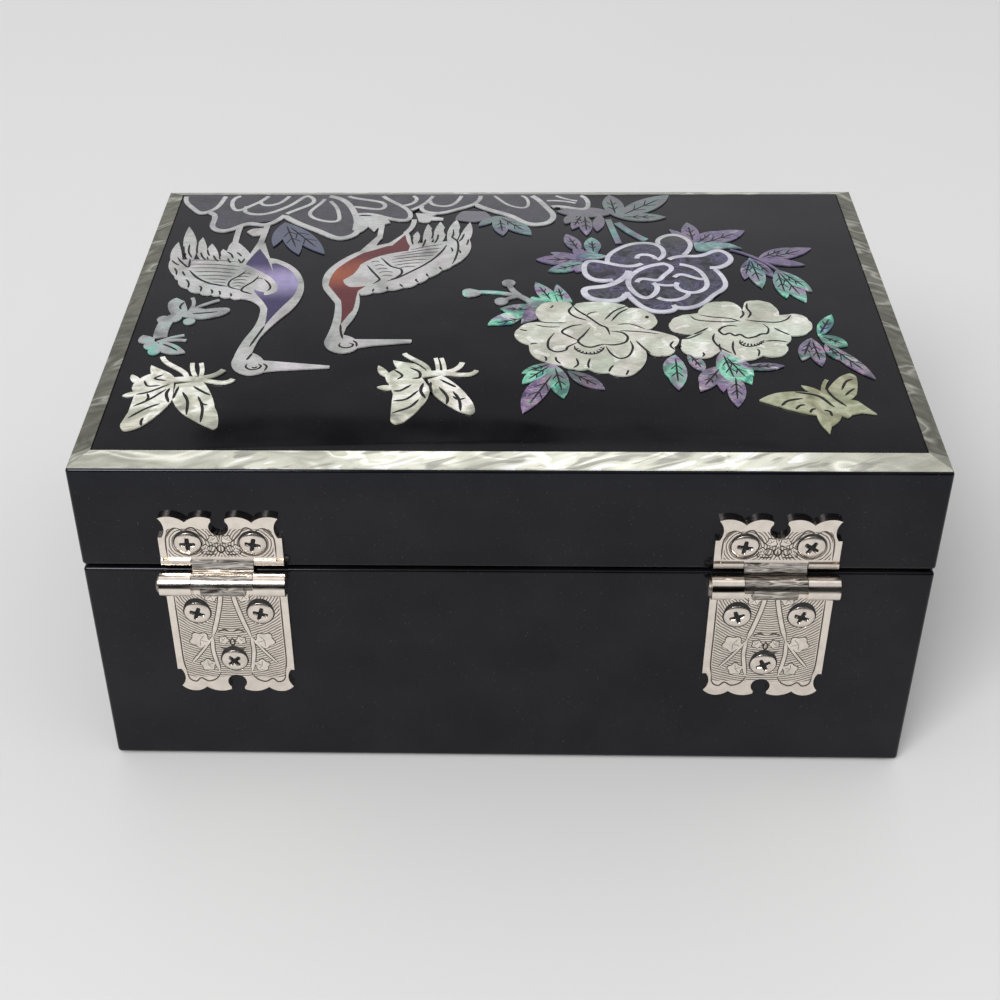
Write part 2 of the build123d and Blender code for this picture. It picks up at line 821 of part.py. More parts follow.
def cut(*corners):
    """Shell piece with sharp corners. Each corner is (x, y) or (x, y, swell), where swell is
    how far the edge that ends there stands out from straight (negative: bends in)."""
    points = [drawn(*corner[:2]) for corner in corners]
    following = points[1:] + points[:1]
    area = sum(a.X * b.Y - b.X * a.Y for a, b in zip(points, following))
    with BuildLine() as outline:
        for start, end, corner in zip(points, following, corners[1:] + corners[:1]):
            outward = Vector(end.Y - start.Y, start.X - end.X).normalized() * copysign(1, area)
            if len(corner) == 2:
                Line(start, end)
            else:
                swell = outward * (corner[2] * picture_scale)
                ThreePointArc(start, (start + end) * 0.5 + swell, end)
    return make_face(outline.line.edges(), mode=Mode.PRIVATE)


def blade(root, tip, width, bend=0.0):
    """Feather or leaf lobe: two arcs between a root and a tip, bent to its left."""
    start = drawn(*root)
    end = drawn(*tip)
    left = Vector(start.Y - end.Y, end.X - start.X).normalized()
    with BuildLine() as outline:
        for bulge in (bend + width / 2, bend - width / 2):
            ThreePointArc(start, (start + end) * 0.5 + left * (bulge * picture_scale), end)
    return make_face(outline.line.edges(), mode=Mode.PRIVATE)


def fan(root, *tips):
    """Leaf of several lobes from one root. Each tip is (x, y, width)."""
    return [blade(root, tip[:2], tip[2]) for tip in tips]


def stroke(width, *points):
    """Strip of one width along a smooth curve through points."""
    with BuildLine() as path:
        Spline(*[drawn(*point) for point in points])
    return trace(path.line.edges(), line_width=width * picture_scale, mode=Mode.PRIVATE)


def bud(x, y, radius):
    """Round bud or lobe."""
    with BuildSketch(mode=Mode.PRIVATE) as outline:
        with Locations(drawn(x, y)):
            Circle(radius * picture_scale)
    return outline.sketch


# Crane with the purple body: its body lies inside the white rims, neck and wing
purple_body = cut(
    (61, -27.3, 0.2), (58.3, -21.3), (56.3, -14.9), (57.1, -19.1), (56, -19.3),
    (51.8, -15, 0.3), (49.5, -6, 0.7), (51.1, 0, 0.3), (55.2, 11, -0.2), (55.5, 3, -0.1),
    (58.8, -3.6, -0.2), (59.9, -6.4, 0.1), (57.2, -4.8, -0.2), (57.1, -3.4), (54.2, -6.5, -1),
    (57.5, -13.3, -0.6), (63.5, -19, -0.2),
)
purple_crane = [
    cut(
        (60.1, -30.5), (57.9, -22.1), (55.5, -21, 0.1), (50.2, -15, 0.5), (47.9, -5, 0.6),
        (50.4, 5, 0.6), (55.6, 16, -0.3), (56.6, 22.6, -0.1), (53.6, 25.9, 0.4), (52.3, 26.1),
        (38.9, 28.3), (38.9, 29.1, 0.2), (50, 29.9), (53, 30.4), (56.5, 31.6, 0.4),
        (60.5, 25, 1.6), (58.6, 15, 0.3), (57, 5, -0.5), (62.3, -2.1, -1.6), (63.5, -19),
        (63.2, -24), (62, -30.5),
    ),
    cut(
        (82.5, -22.5), (80.1, -14.2, 0.9), (78.8, -12.1, 0.4), (75.9, -7.6, 0.9),
        (72.7, -5.5, 0.7), (69.7, -4.4, 0.7), (67.7, -3.8, 0.5), (65, -2.8, 0.6),
        (62.3, -2.1, 0.6), (60.9, -3.9), (59.9, -6.3), (57.2, -4.8), (57.1, -3.4),
        (54.2, -6.5, 1), (57.5, -13.3, 0.6), (63.5, -19, 0.2), (64, -21), (70, -22),
    ),
    blade((77, -20), (80.7, -40.3), 3.4),
    blade((78.5, -15.5), (82, -31.9), 2.9, 1),
    blade((73.5, -20), (76.2, -34.2), 2.7, 0.6),
    blade((70.3, -19.5), (73.4, -30.6), 2.8, 0.6),
    blade((66.5, -18.5), (70.2, -27.5), 2.8, 0.4),
    blade((63, -16), (68.4, -30.6), 3.6, 1),
    cut((68.5, -31), (68.9, -27, 0.3), (66.4, -18), (62.4, -17), (63, -24.5), (66.8, -30.8, 0.2)),
    stroke(1.5, (67.6, -40.3), (67.7, -35), (67.6, -30)),
    stroke(1.5, (60.7, -41), (60.9, -36), (61.2, -30)),
    cut((65.5, -36.8), (64, -38.5, 0.2), (61, -39), (61.4, -34.9), (63.8, -34.7, 0.1)),
]

# Crane with the red body
red_body = cut(
    (25.4, -34), (28.3, -28), (29.6, -27.6), (35, -24.1), (41, -15.6, 0.4), (42.2, -7.5, 0.4),
    (38.6, 0), (37.8, 11, -0.2), (35.5, 4.5, -0.1), (35.2, -1, 0.1), (35, -4.6),
    (33.3, -7), (37, -6.6, -0.2), (38.9, -10.2, -0.5), (36.9, -12.6), (35.4, -17.8, 0.2),
    (31, -22.3, -0.3), (24.2, -24.9, -0.3), (23.9, -27.5), (24.9, -31, -0.1),
)
red_crane = [
    cut(
        (25, -36.4), (29.3, -29.3, -0.2), (32.2, -28), (31, -32.3, -0.2), (30.9, -40),
        (32.2, -40), (32.4, -33.3), (36, -25.2), (42.3, -17, 0.5), (43.2, -5.8, 1.1),
        (39.9, 1), (40.7, 17, -0.6), (36.8, 23, 1.6), (33.1, 20.9, 0.7), (30, 20),
        (21.4, 18.8), (21.4, 17.7, 0.2), (34, 17.4), (36.8, 15.5, 0.3), (36.4, 12),
        (34.2, 3, 0.4), (34.7, -3.4, 0.2), (24, -22), (23.4, -28.5), (24.1, -33, -0.1),
    ),
    cut(
        (9.3, -30.9), (13.1, -17.2, 1.9), (15.6, -14.8, 0.4), (18.6, -11.2, 0.5),
        (21, -8.4, 0.5), (24.4, -6.3, 0.7), (28, -5, 0.5), (31.3, -4, 0.5), (34.4, -3, 0.5),
        (34.9, -4.6), (33.3, -7.1), (37, -6.7), (38.9, -10.3, 0.5), (36.9, -12.6),
        (35.4, -17.8), (31, -22.2), (24.2, -24.8), (23.4, -29),
    ),
    blade((12.6, -24), (9.4, -41.3), 2.8, -0.6),
    blade((14, -27), (12.8, -42.8), 3.1),
    blade((17.4, -27), (16.9, -41.5), 3, -0.3),
    blade((20.4, -26), (20, -40.2), 2.6, -0.6),
    blade((22.4, -26), (22.4, -35.9), 2.2, 0.2),
    stroke(1.3, (23.6, -43), (24, -38.5), (25.4, -35)),
    cut(
        (23.4, -46.8), (17.8, -46.4), (19.4, -44.9), (16.2, -43.8), (16.3, -42.7),
        (19.3, -42.7), (20, -41.4, 0.2), (22.4, -41.9, 0.2),
    ),
    cut(
        (38.9, -45), (31, -44.9, 0.3), (29.6, -41.3), (31, -40.4), (31.8, -37.5), (32.5, -38.4),
        (33.3, -36.1), (35, -39), (36.6, -36, 0.1), (38.9, -37),
    ),
]

# White peonies: round lobes all along their edges
white_peonies = [
    cut(
        (-6.8, 7.6), (-7.4, 3, 0.5), (-10, 1.2, 0.5), (-14.6, 1.4, 0.5), (-15.2, 3.2),
        (-16, 1.7), (-20.5, 0.9, 0.3), (-27.1, 2.2, 0.5), (-28, 3.6), (-32.3, 5.3, 0.8),
        (-33.9, 8.2, 0.4), (-33.2, 11.6, 0.5), (-31.2, 13.2, 0.3), (-36.5, 15.2, 0.3),
        (-38.4, 17.3, 0.4), (-37, 20.5, 0.3), (-36.5, 23, 0.4), (-34.3, 23.8, 0.4),
        (-31.6, 23.2, 0.5), (-30.6, 21.6), (-28.4, 30.4, 1), (-25.6, 32.3, 0.4),
        (-22.1, 31, 0.5), (-17.8, 29.6, 0.7), (-14.5, 29.6, 0.5), (-11.9, 28, 0.4),
        (-8.4, 26.8, 0.5), (-5, 21.8, 0.8), (-4.9, 19.8), (-1.9, 16.6, 0.5), (-2.7, 13.1, 0.5),
        (-6, 10.3, 0.6), (-8.6, 10.3, 0.1), (-7.6, 9.2),
    ),
    cut(
        (-43.7, 5.4), (-44.9, 2.7, 0.3), (-46.9, 0.4, 0.3), (-49.3, 0, 0.2), (-52.3, 0.4, 0.4),
        (-53.9, 4, 0.4), (-54.6, 1), (-55.2, -0.3, 0.1), (-57, -0.9, 0.2), (-59.5, -0.6, 0.3),
        (-61.4, 1.3, 0.4), (-62.1, 5.6, 0.4), (-64.6, 5), (-67.4, 5.4, 0.4), (-68.5, 7.6, 0.3),
        (-69, 10, 0.3), (-67.9, 12.5, 0.3), (-65.9, 14.2, 0.3), (-63.4, 14.3, 0.2),
        (-62.8, 17.5, 0.4), (-61.9, 18.6), (-61.6, 21.8, 0.5), (-59.4, 23.5, 0.4),
        (-56.5, 23.1, 0.4), (-55, 24.3), (-52.5, 25.2, 0.3), (-50.3, 24.4, 0.3), (-47.3, 21.6),
        (-45.6, 23.5), (-42.9, 24.6, 0.4), (-40.4, 23.6, 0.5), (-38.5, 20.4, 0.5), (-39, 17.3),
        (-42, 14.8), (-38, 13.8, 0.3), (-36.8, 12.4, 0.3), (-37.2, 9.5, 0.4), (-39, 7.2, 0.4),
        (-41.5, 6.1, 0.3),
    ),
]

# Outlined peonies: pale rims as strips, with dark shell set between them. The far flowers
# run out under the border at the front edge of the panel.
far_edge = -58.9
grey_peony_rims = [
    stroke(1.2, (-24.2, -18.6), (-24.7, -22.5), (-27, -26), (-32.5, -29.4), (-36.6, -28.5),
           (-38, -25.5), (-36.2, -20.4)),
    stroke(1.2, (-31.4, -21), (-32.5, -23), (-34.6, -22.8), (-35.8, -20.8)),
    stroke(1.2, (-37.2, -28.8), (-37.6, -32), (-41.3, -34.2), (-44.6, -31), (-44.6, -27),
           (-42.7, -23.2)),
    stroke(1.3, (-39, -20.8), (-43, -22.6), (-47, -23), (-51.6, -25.8), (-54, -22.5),
           (-52.6, -18.6), (-48.5, -16.8)),
    stroke(1.2, (-49.6, -16), (-51.3, -11), (-51, -7), (-48.5, -3.8), (-45, 1), (-40.5, 3),
           (-38.8, 2.6)),
    stroke(1.3, (-28, -4), (-30, 1), (-34.6, 4.8), (-38.6, 3.4), (-38.3, 1.8)),
    stroke(1.3, (-32.4, -18.4), (-28, -17), (-24.5, -18.3), (-19.6, -19.2), (-18.4, -15.4),
           (-19.2, -11.6), (-25, -10)),
    stroke(1.6, (-29, -14.6), (-26.4, -9.4), (-22.5, -6.6), (-18.2, -5), (-18.6, -2),
           (-21.8, 0), (-25.5, -0.2), (-27.7, -3.2)),
    stroke(1.3, (-37.5, -18.4), (-33.6, -16.8), (-29.4, -12), (-28.9, -6), (-32.5, -1.4),
           (-34.7, -4), (-34.4, -8.6)),
    stroke(1.2, (-37.2, -18.6), (-39.3, -16.4), (-37, -12), (-35.6, -10), (-32.6, -10.6),
           (-30.6, -8.8)),
    stroke(1.2, (-41.4, -18.2), (-45.2, -16), (-47, -11), (-46.4, -6.4), (-43.2, -4.2),
           (-40.4, -5.6), (-40.2, -9)),
    stroke(1, (-39.6, -7.8), (-37, -7.5), (-35.4, -8)),
    stroke(1.1, (-46.6, -11), (-43.6, -12), (-41.7, -13), (-39.6, -11.6)),
    stroke(1.2, (-35, -1.5), (-38, -0.4), (-41.4, -2), (-42.4, -4.2)),
]
far_peony_rims = [
    stroke(1.2, (84.2, -57.8), (83.6, -54.5), (81, -50.4), (78.6, -48.2), (76.4, -49.4),
           (74.4, -54), (73.8, -57.8)),
    stroke(1.4, (76.6, -48.4), (74.8, -44), (74.4, -39.5), (72.2, -37.8), (68.6, -39.4),
           (65.4, -41.6), (61.6, -40.8), (58.8, -43), (57, -46.2)),
    stroke(1.6, (56.8, -45.6), (53, -41.5), (46, -35.6), (41.2, -32.6), (38.2, -34.6),
           (37.8, -40), (38.6, -45), (40, -50), (42.5, -55), (46.5, -57.8)),
    stroke(1.1, (69.8, -57.8), (71.4, -52.6), (69.6, -49.4), (66.4, -52), (64, -55),
           (62.5, -57.8)),
    stroke(1, (64.2, -54.4), (62.4, -52.2), (59.8, -53), (57.8, -55.8), (57, -57.8)),
    stroke(1.1, (67.4, -51.6), (66.8, -47.8), (63.4, -46.8), (58, -50), (54.4, -55),
           (52.2, -57.8), (50.4, -55.5), (53, -50.6), (56.6, -47)),
    stroke(1, (47.6, -56), (49, -52), (50.6, -47), (46.8, -42.6), (43.2, -42.4), (43, -46),
           (44.2, -51), (46, -54.6)),
    stroke(1.1, (41.4, -57.8), (36.3, -55.3), (31.6, -52), (32, -50), (36, -50), (39.6, -51)),
    stroke(1.2, (38.6, -46.2), (33, -45.6), (28.6, -43.2), (25.4, -43), (24.8, -46.4),
           (27.8, -52), (32.4, -57.8)),
    stroke(1, (24.6, -57.8), (23.6, -55.4), (25.2, -52.4), (27.3, -51.6)),
    stroke(1, (24.6, -49), (22.2, -51.6), (20.2, -55.4), (19.4, -57.8)),
    stroke(1, (20, -54.8), (18.2, -51.6), (15.2, -51.4), (12.9, -54.4), (12, -57.8)),
    stroke(1.1, (22, -51.4), (20.8, -47.8), (17.6, -47), (13.4, -49), (9.2, -52), (7, -57.8)),
    stroke(1.5, (8.4, -52.6), (4, -48.6), (-1.4, -44.6), (-6, -40.2), (-10.2, -41.2),
           (-11.6, -46), (-10.2, -50), (-8.6, -54), (-6.4, -57.8)),
    stroke(1.2, (-11.4, -50.8), (-16, -50.2), (-19.8, -49.6), (-20.8, -52.6), (-19, -57.8)),
    stroke(0.8, (3.4, -57.8), (1, -53.6), (-1.4, -51), (-4.4, -50.2), (-5.4, -53.6),
           (-3.6, -57.8)),
    stroke(0.8, (-10.2, -54.6), (-14, -54.4), (-17.6, -53)),
    stroke(0.8, (-12.6, -57.8), (-15, -55.9), (-18, -54.4)),
]
peony_fills = [
    cut(
        (-24.4, -19), (-27, -26, 0.6), (-36.6, -28.6, 1.5), (-38, -32), (-44.5, -31, 2),
        (-43.2, -23.2), (-51.6, -25.6), (-53.6, -21, 1), (-49, -16.6, 0.6), (-50.8, -6, 1.4),
        (-45, 1, 0.4), (-38.6, 3, 0.6), (-34.6, 4.6, 0.5), (-28, -3.6, 1.2), (-22, -0.2, 0.9),
        (-18.4, -4.4, 1), (-26.4, -9.6, 0.3), (-19.4, -11.6, 0.5), (-19.4, -19, 1),
    ),
    cut(
        (84, far_edge), (83.6, -54.5, 0.1), (79, -48.2, 0.4), (76.4, -48.4), (74.5, -39.5),
        (72.4, -38, 0.4), (65.4, -41.6, -0.2), (58.8, -43.2), (57, -46), (46, -35.8),
        (41, -32.8, 0.2), (38.4, -35, 0.5), (39, -46), (33, -45.6), (25.4, -43, 0.3),
        (24.8, -47), (22, -51), (20.8, -47.8, 0.2), (17.6, -47, 0.2), (9.2, -52),
        (-1.4, -44.6), (-6, -40.4), (-10.3, -41.4, 0.5), (-11.4, -46.5, 0.2), (-11, -50.6),
        (-19.6, -49.8), (-20.6, -53, 0.3), (-19, far_edge),
    ),
]

leaves_green = [
    *fan((2.5, -45), (7.2, -39.2, 2.6), (-6, -34, 5), (1, -33.6, 4)),
    *fan((-28, -44.5), (-42, -58.4, 6.5), (-40.2, -44.6, 4.4), (-26.4, -58.4, 5.4)),
    stroke(1.6, (-25.4, -43), (-26.4, -36), (-27.4, -29.4)),
    stroke(1.8, (-27.6, -41), (-30.4, -36), (-34.2, -31.2)),
    blade((-21, -23.4), (-20.8, -32.4), 4.2),
    blade((-17, -22), (-24.4, -22.2), 2.6),
    *fan((-19, -18.4), (-9.8, -14.2, 4.2), (-16.4, -14, 3)),
    cut((-45.9, -30.2), (-46.2, -26, 0.3), (-50, -25.8, 0.3), (-54, -27.6), (-57.4, -27.4),
        (-54.6, -30), (-50, -30.4)),
    *fan((-64.4, -16.5), (-65, -2.6, 3.8), (-69.3, -1, 4.6), (-71.4, -6.2, 3.6)),
    blade((-58.6, -22.4), (-59.9, -7.3), 4.2),
    cut((-11.7, -7.5, 0.5), (-11, -3.7, 0.2), (-12, 1.4), (-15.1, 0.7)),
    cut((-6.7, -8.6, 0.4), (-6.6, -4.5, 0.2), (-8.3, -0.3, 0.2), (-9.8, 0.9), (-11.6, 1.1),
        (-11, -3.7)),
    cut((-5.9, -1.6), (-8, -0.7), (-9.4, 1), (-7.4, 2.6), (-6.8, 4), (-5.4, 3), (-4.4, 1.2)),
    cut((1.6, 4.1), (-1.5, 2.3, 0.2), (-4.4, 2, 0.1), (-3.4, 8.4), (-1, 11), (4.3, 11.4),
        (3.2, 8.6, 0.2), (0, 5.8, 0.2)),
    *fan((-10, 27.6), (-3.3, 31.4, 2.6), (-3.3, 35.4, 3.4), (-12.2, 40.9, 4.6)),
    *fan((-37, 23.6), (-36.8, 37.4, 4.4), (-34.8, 32.4, 3.6)),
    *fan((-47.4, 21.8), (-49.4, 35.5, 5.4), (-52.6, 34.8, 4.8), (-53.4, 31.4, 4)),
    blade((-70, 14.4), (-75.7, 18.2), 4.2),
    blade((-69.8, 14.4), (-74.2, 4.6), 3.2),
]
leaves_rose = [
    *fan((56.4, -42), (57.8, -28.4, 3.2), (51, -23.8, 4.6), (44.7, -24, 4.8)),
    cut((13.2, -43, 0.3), (11.4, -48, 0.4), (5.6, -47.6, 0.2), (3.6, -43.4), (8, -41.6)),
    blade((-12.6, -48), (-27, -47), 6),
    *fan((-17, -46.5), (-14.6, -40.5, 2.8)),
    *fan((-19.6, -46), (-16.2, -37.3, 3.2), (-19.8, -33.8, 3.4)),
    blade((-23.6, -46), (-22.4, -36), 3),
    blade((-17.6, -24.6), (-14.6, -34.3), 3.8),
    *fan((-19, -20), (-7, -20.3, 5), (-10.6, -24, 3.2), (-16.4, -27.4, 3), (-21.6, -27, 3.4)),
    *fan((-45.8, -29.6), (-45.2, -41.4, 4.4), (-40.4, -37.4, 2.6), (-51.8, -36.6, 4),
         (-59.2, -37.2, 6)),
    stroke(0.7, (-54.4, -26.6), (-60, -22.6), (-63, -19), (-66, -13.4)),
    *fan((-60.6, -21.8), (-69, -28.2, 3.4), (-74.4, -28.2, 4.8), (-71.6, -19.4, 3.2)),
    *fan((-58.8, -22), (-56.2, -11.4, 3.2), (-63.3, -12.9, 3)),
    cut((-4.4, 2), (-7, 2.2), (-6.9, 8.4), (-3.2, 10.8, 0.2), (-3.4, 8.4)),
    blade((-10.6, 30.5), (-3.4, 46.4), 4.8, -0.6),
    blade((-13.2, 30.6), (-21, 37.4), 3.8),
    blade((-40, 22.8), (-42.9, 30.2), 3.2),
    *fan((-46.8, 28), (-41.3, 37.8, 4), (-41.2, 34.2, 3.4), (-46.2, 38, 3)),
    blade((-49.4, 31), (-48.7, 43.6), 4),
    blade((-51.6, 28.2), (-60.5, 27.3), 2.8),
    *fan((-68, 15.4), (-64.7, 24.9, 3.6), (-68.7, 27.2, 3.6)),
    *fan((-70.8, 17.6), (-79.5, 31.8, 3.4), (-73.3, 24.4, 3.2)),
]

# Butterflies and, in the far corner, sprigs like small insects
butterflies = [
    cut((72.2, 33.6), (79.9, 36.6, 0.4), (80, 45.8), (80.8, 50.4), (79.6, 52.8, 0.3),
        (76.4, 51.1, 0.3), (73.8, 47, 0.2), (71.4, 40.6, 0.4)),
    cut((71.6, 35), (66, 33.8), (61.8, 44.2, 0.5), (60.2, 51.2, 0.4), (61, 52.2, 0.2),
        (66.6, 48, 0.2), (71.4, 41, 0.6)),
    cut((72, 33), (74, 30.2, 0.2), (78.4, 27), (77.8, 30.6, 0.2), (79.8, 32.4, 0.2),
        (81, 35.6, 0.3), (80.4, 37.6, 0.2), (76, 39)),
    blade((79.2, 34.2), (82, 30.7), 1.8, 0.4),
    blade((78.8, 38), (82.5, 39.3), 1.6),
    stroke(1.8, (73.4, 33.4), (69, 32.9), (65.6, 33.5)),
    stroke(1.1, (76.5, 23.5), (74, 27), (70.6, 30.2), (69.6, 32.4)),
    stroke(1, (69.3, 26.4), (68.8, 29.4), (67.8, 32)),
    stroke(1, (67.4, 26.5), (66.7, 29.4), (66.6, 32.4)),
    stroke(1.3, (62, 29.4), (63.2, 31), (66.2, 32.4)),
    stroke(1.2, (59.4, 33.2), (60.8, 34.4), (63.4, 34.2), (66, 33.4)),
    cut((18.4, 33), (25.4, 35.4, 0.3), (24.2, 39.4), (24.2, 49, 0.1), (23, 50.4, 0.2),
        (20.8, 48.8, 0.3), (18, 44.2, 0.2), (16.4, 37.4, 0.5)),
    cut((17, 34), (14, 32.4), (8.2, 40.4, 0.5), (6.6, 45.4, 0.3), (7.4, 46.9, 0.3),
        (10.8, 45, 0.3), (15.6, 39.4, 0.3)),
    cut((17, 31.4), (20, 27.8, 0.2), (24.9, 26.4), (23.7, 29.6, 0.2), (26.2, 32.4, 0.2),
        (25.6, 35, 0.2), (22, 37.6)),
    blade((25, 33), (28, 28.4), 1.8, 0.4),
    blade((23.6, 37.2), (27.8, 36.8), 1.6),
    stroke(1.8, (19, 32.4), (15, 31.4), (13, 31.4)),
    stroke(1, (22.6, 23.5), (20, 26.2), (17.2, 29.4), (16.8, 31.4)),
    stroke(0.9, (15.6, 25.5), (15.1, 28.2), (14.9, 31)),
    stroke(0.9, (14.3, 25.5), (13.7, 28.2), (13.4, 31)),
    stroke(1.2, (9.7, 27.3), (10.6, 29.4), (13, 31)),
    stroke(1.1, (6.5, 30.4), (7.6, 31.7), (10, 32), (13, 31.6)),
    cut((-53.4, 41), (-57, 38.4, 0.2), (-65, 38, 0.6), (-70.4, 42.6), (-69.6, 46.4),
        (-65, 46.2), (-60, 44.5, 0.3), (-57.4, 43.2, 0.1)),
    cut((-68.6, 36.2), (-71, 32.4, 0.1), (-74.2, 29.9, 0.3), (-75.4, 31.6, 0.3),
        (-74.3, 38.2, 0.2), (-72.2, 40.6, 0.2), (-69, 42)),
    cut((-72.2, 40.4), (-74.2, 41, 0.2), (-77.3, 45.7), (-74.4, 45.1), (-72, 46),
        (-71, 47.1, 0.2), (-69.4, 46), (-68.6, 42)),
    cut((-64.7, 45.6), (-65.2, 50, 0.2), (-66.4, 53.2), (-67.2, 50.4), (-70, 46, 0.5)),
    blade((-68, 39.4), (-63, 35.1), 1.8),
    stroke(2, (-67, 37), (-68.6, 40), (-70, 44)),
    stroke(0.9, (-68.8, 32.7), (-67.8, 35), (-67.3, 37.4)),
]
sprigs = [
    cut((77.8, -3.2), (79.3, 0, 0.5), (77, 5.6, 0.4), (74.6, 5.8), (74.2, 3, 0.1),
        (75.6, -1.4, 0.1)),
    stroke(0.9, (74, -3), (73.3, -1), (73.4, 2.4)),
    stroke(0.9, (67.4, -1.7), (70.2, 0), (73.4, 2.8)),
    cut((75, 5.6), (73.6, 2), (70, 2.6, 0.2), (65, 2.2, 0.2), (64.2, 3.6, 0.3),
        (67, 6, 0.4), (71.8, 6.8, 0.4)),
    bud(79.2, 6.7, 1.5),
    bud(76.8, 6.2, 1.8),
    bud(73, 8, 1.4),
    stroke(3.2, (78.3, 7.6), (78.7, 11), (78.5, 15)),
    cut((79.6, 17), (83.2, 16.6, 0.6), (82.6, 13.8, 0.4), (79.6, 15.4, 0.2)),
    stroke(0.8, (73.1, 14.2), (76, 15.2), (78.8, 17)),
    stroke(0.8, (72.3, 16.5), (75, 16.2), (78.4, 17.2)),
    cut((78.2, 17), (74.8, 18.2, 0.3), (71.7, 21.8, 0.3), (76, 22, 0.4), (78.6, 19.8, 0.2)),
    bud(80, 18.4, 1.7),
    bud(78.9, 21, 1.4),
    cut((8.3, -5.2), (10.4, -3.4, 0.9), (8.2, -1.7, 0.8), (6, -3.1, 0.3), (6.2, -4.3)),
    stroke(1.2, (6.6, -3.8), (2.4, -3.6), (-0.4, -2.9), (-2.6, -2.1)),
    bud(-0.4, -8.2, 1.6),
    stroke(1.4, (-0.5, -7.8), (-1.2, -5), (-2.8, -2.4)),
    bud(1.3, 0.6, 1.6),
    stroke(1.1, (0.4, 0), (-1, -1.1), (-2.8, -1.9)),
    stroke(1.5, (-2.4, -2.4), (-4, -0.9), (-5.6, 0.8)),
]

# The pieces of each colour are laid in this order, each cut round those before it
inlays = {
    "inlay_crane_body_purple": [purple_body],
    "inlay_crane_body_red": [red_body],
    "inlay_crane_shells": purple_crane + red_crane,
    "inlay_peonies_white": white_peonies,
    "inlay_peonies_outline": grey_peony_rims + far_peony_rims,
    "inlay_peonies_fill": peony_fills,
    "inlay_butterflies": butterflies,
    "inlay_sprigs": sprigs,
    "inlay_leaves_green": leaves_green,
    "inlay_leaves_rose": leaves_rose,
}

laid = []
for name, shapes in inlays.items():
    with BuildSketch() as outlines:
        for shape in shapes:
            add(shape.faces())
        for earlier in laid:
            add(earlier, mode=Mode.SUBTRACT)
    laid.append(outlines.sketch)
    with BuildPart() as inlay:
        extrude(Plane.XY.offset(inlay_low) * outlines.sketch, amount=2 * crown_height + panel_lip)
        add(shell_layer.part, mode=Mode.INTERSECT)
    finish(inlay, name)
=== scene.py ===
"""Looks and fine details of a mother of pearl jewelry box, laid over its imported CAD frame.

Lengths in the tables are millimetres in the frame of the CAD: the origin is the middle of the
underside, +Z is up and +Y points out of the back, where the hinges are.
"""
from functools import partial
from math import pi, radians

import bpy
import numpy as np
from mathutils import Matrix, Vector


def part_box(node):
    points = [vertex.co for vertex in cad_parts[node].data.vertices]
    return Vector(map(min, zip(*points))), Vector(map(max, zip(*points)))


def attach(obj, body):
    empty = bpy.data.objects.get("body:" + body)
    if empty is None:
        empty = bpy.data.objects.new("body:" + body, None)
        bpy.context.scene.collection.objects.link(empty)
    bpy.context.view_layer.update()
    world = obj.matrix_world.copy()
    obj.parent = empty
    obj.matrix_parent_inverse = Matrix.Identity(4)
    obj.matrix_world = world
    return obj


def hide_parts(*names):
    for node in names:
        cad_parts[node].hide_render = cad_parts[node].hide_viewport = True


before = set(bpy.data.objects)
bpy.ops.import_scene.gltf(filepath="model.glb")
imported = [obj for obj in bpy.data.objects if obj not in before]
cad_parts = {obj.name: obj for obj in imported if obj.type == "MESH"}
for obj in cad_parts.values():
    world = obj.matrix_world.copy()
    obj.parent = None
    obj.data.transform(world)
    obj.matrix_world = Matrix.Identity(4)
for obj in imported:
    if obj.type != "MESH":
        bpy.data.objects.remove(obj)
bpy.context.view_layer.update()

bl_info = {
    "name": "Mother of pearl jewelry box",
    "version": (1, 0, 0),
    "blender": (4, 5, 0),
    "location": "3D View > Sidebar > Jewelry box",
    "description": "Lacquer, shell, hinge and lining looks for a jewelry box",
    "category": "Object",
}

MM = 0.001

# Sizes of the CAD that the details follow
LAND_WIDTH = 4.9
CROWN_HEIGHT = 1.6
SHELL_TOP = 0.35
LEAF_THICKNESS = 1.2
LEAF_SCREW_OFFSET = 6.85
UPPER_SCREW_HEIGHT = 63.2
LOWER_SCREW_HEIGHT = 44.4
UPPER_LEAF_DROP = 5.4
SCREW_HEAD_RADIUS = 2.85
SCREW_SHANK_RADIUS = 1.3
SCREW_LENGTH = 6.0
SCREW_POINT = 1.4
SCREW_SEAT = 0.4
SCREW_RIM = 1.3
SCREW_TOP = 1.7
ROLL_COUNT = 4
ROLL_GAP = 0.3
# Factors on the drawn widths of the lines, of the barbs and of the lines on the butterflies
LINE_WEIGHT = 1.7
BARB_WEIGHT = 1.3
WING_WEIGHT = 2.2
# Pitch of the hatching, dark sides of the bands, and extra width of the painted shadow above the
# screws
HATCH_PITCH = 0.62
BAND_SIDE = 0.45
UPPER_SHADOW_REACH = 0.495
LOWER_SHADOW_REACH = 0.99
# Points round an ivy leaf, a dark ring round a screw, a screw and a ring roll, and stations along a
# ring roll
IVY_STEPS = 40
SHADOW_RING_STEPS = 64
SCREW_STEPS = 72
ROLL_STEPS = 28
ROLL_STATIONS = 60
# Seed for the turns of the screws
TURN_SEED = 7
# Half the side of the floor, in metres
FLOOR_REACH = 20
# Settings of properties and nodes that come often
SHARE = {"min": 0.0, "max": 1.0, "subtype": "FACTOR"}
SMOOTH = {"interpolation_type": "SMOOTHSTEP"}
COLOURS = {"data_type": "RGBA"}
DARKEN = {"data_type": "RGBA", "blend_type": "MULTIPLY"}
TIMES = {"operation": "MULTIPLY"}
TIMES_PLUS = {"operation": "MULTIPLY_ADD"}
LESS = {"operation": "SUBTRACT"}
SIZE = {"operation": "ABSOLUTE"}
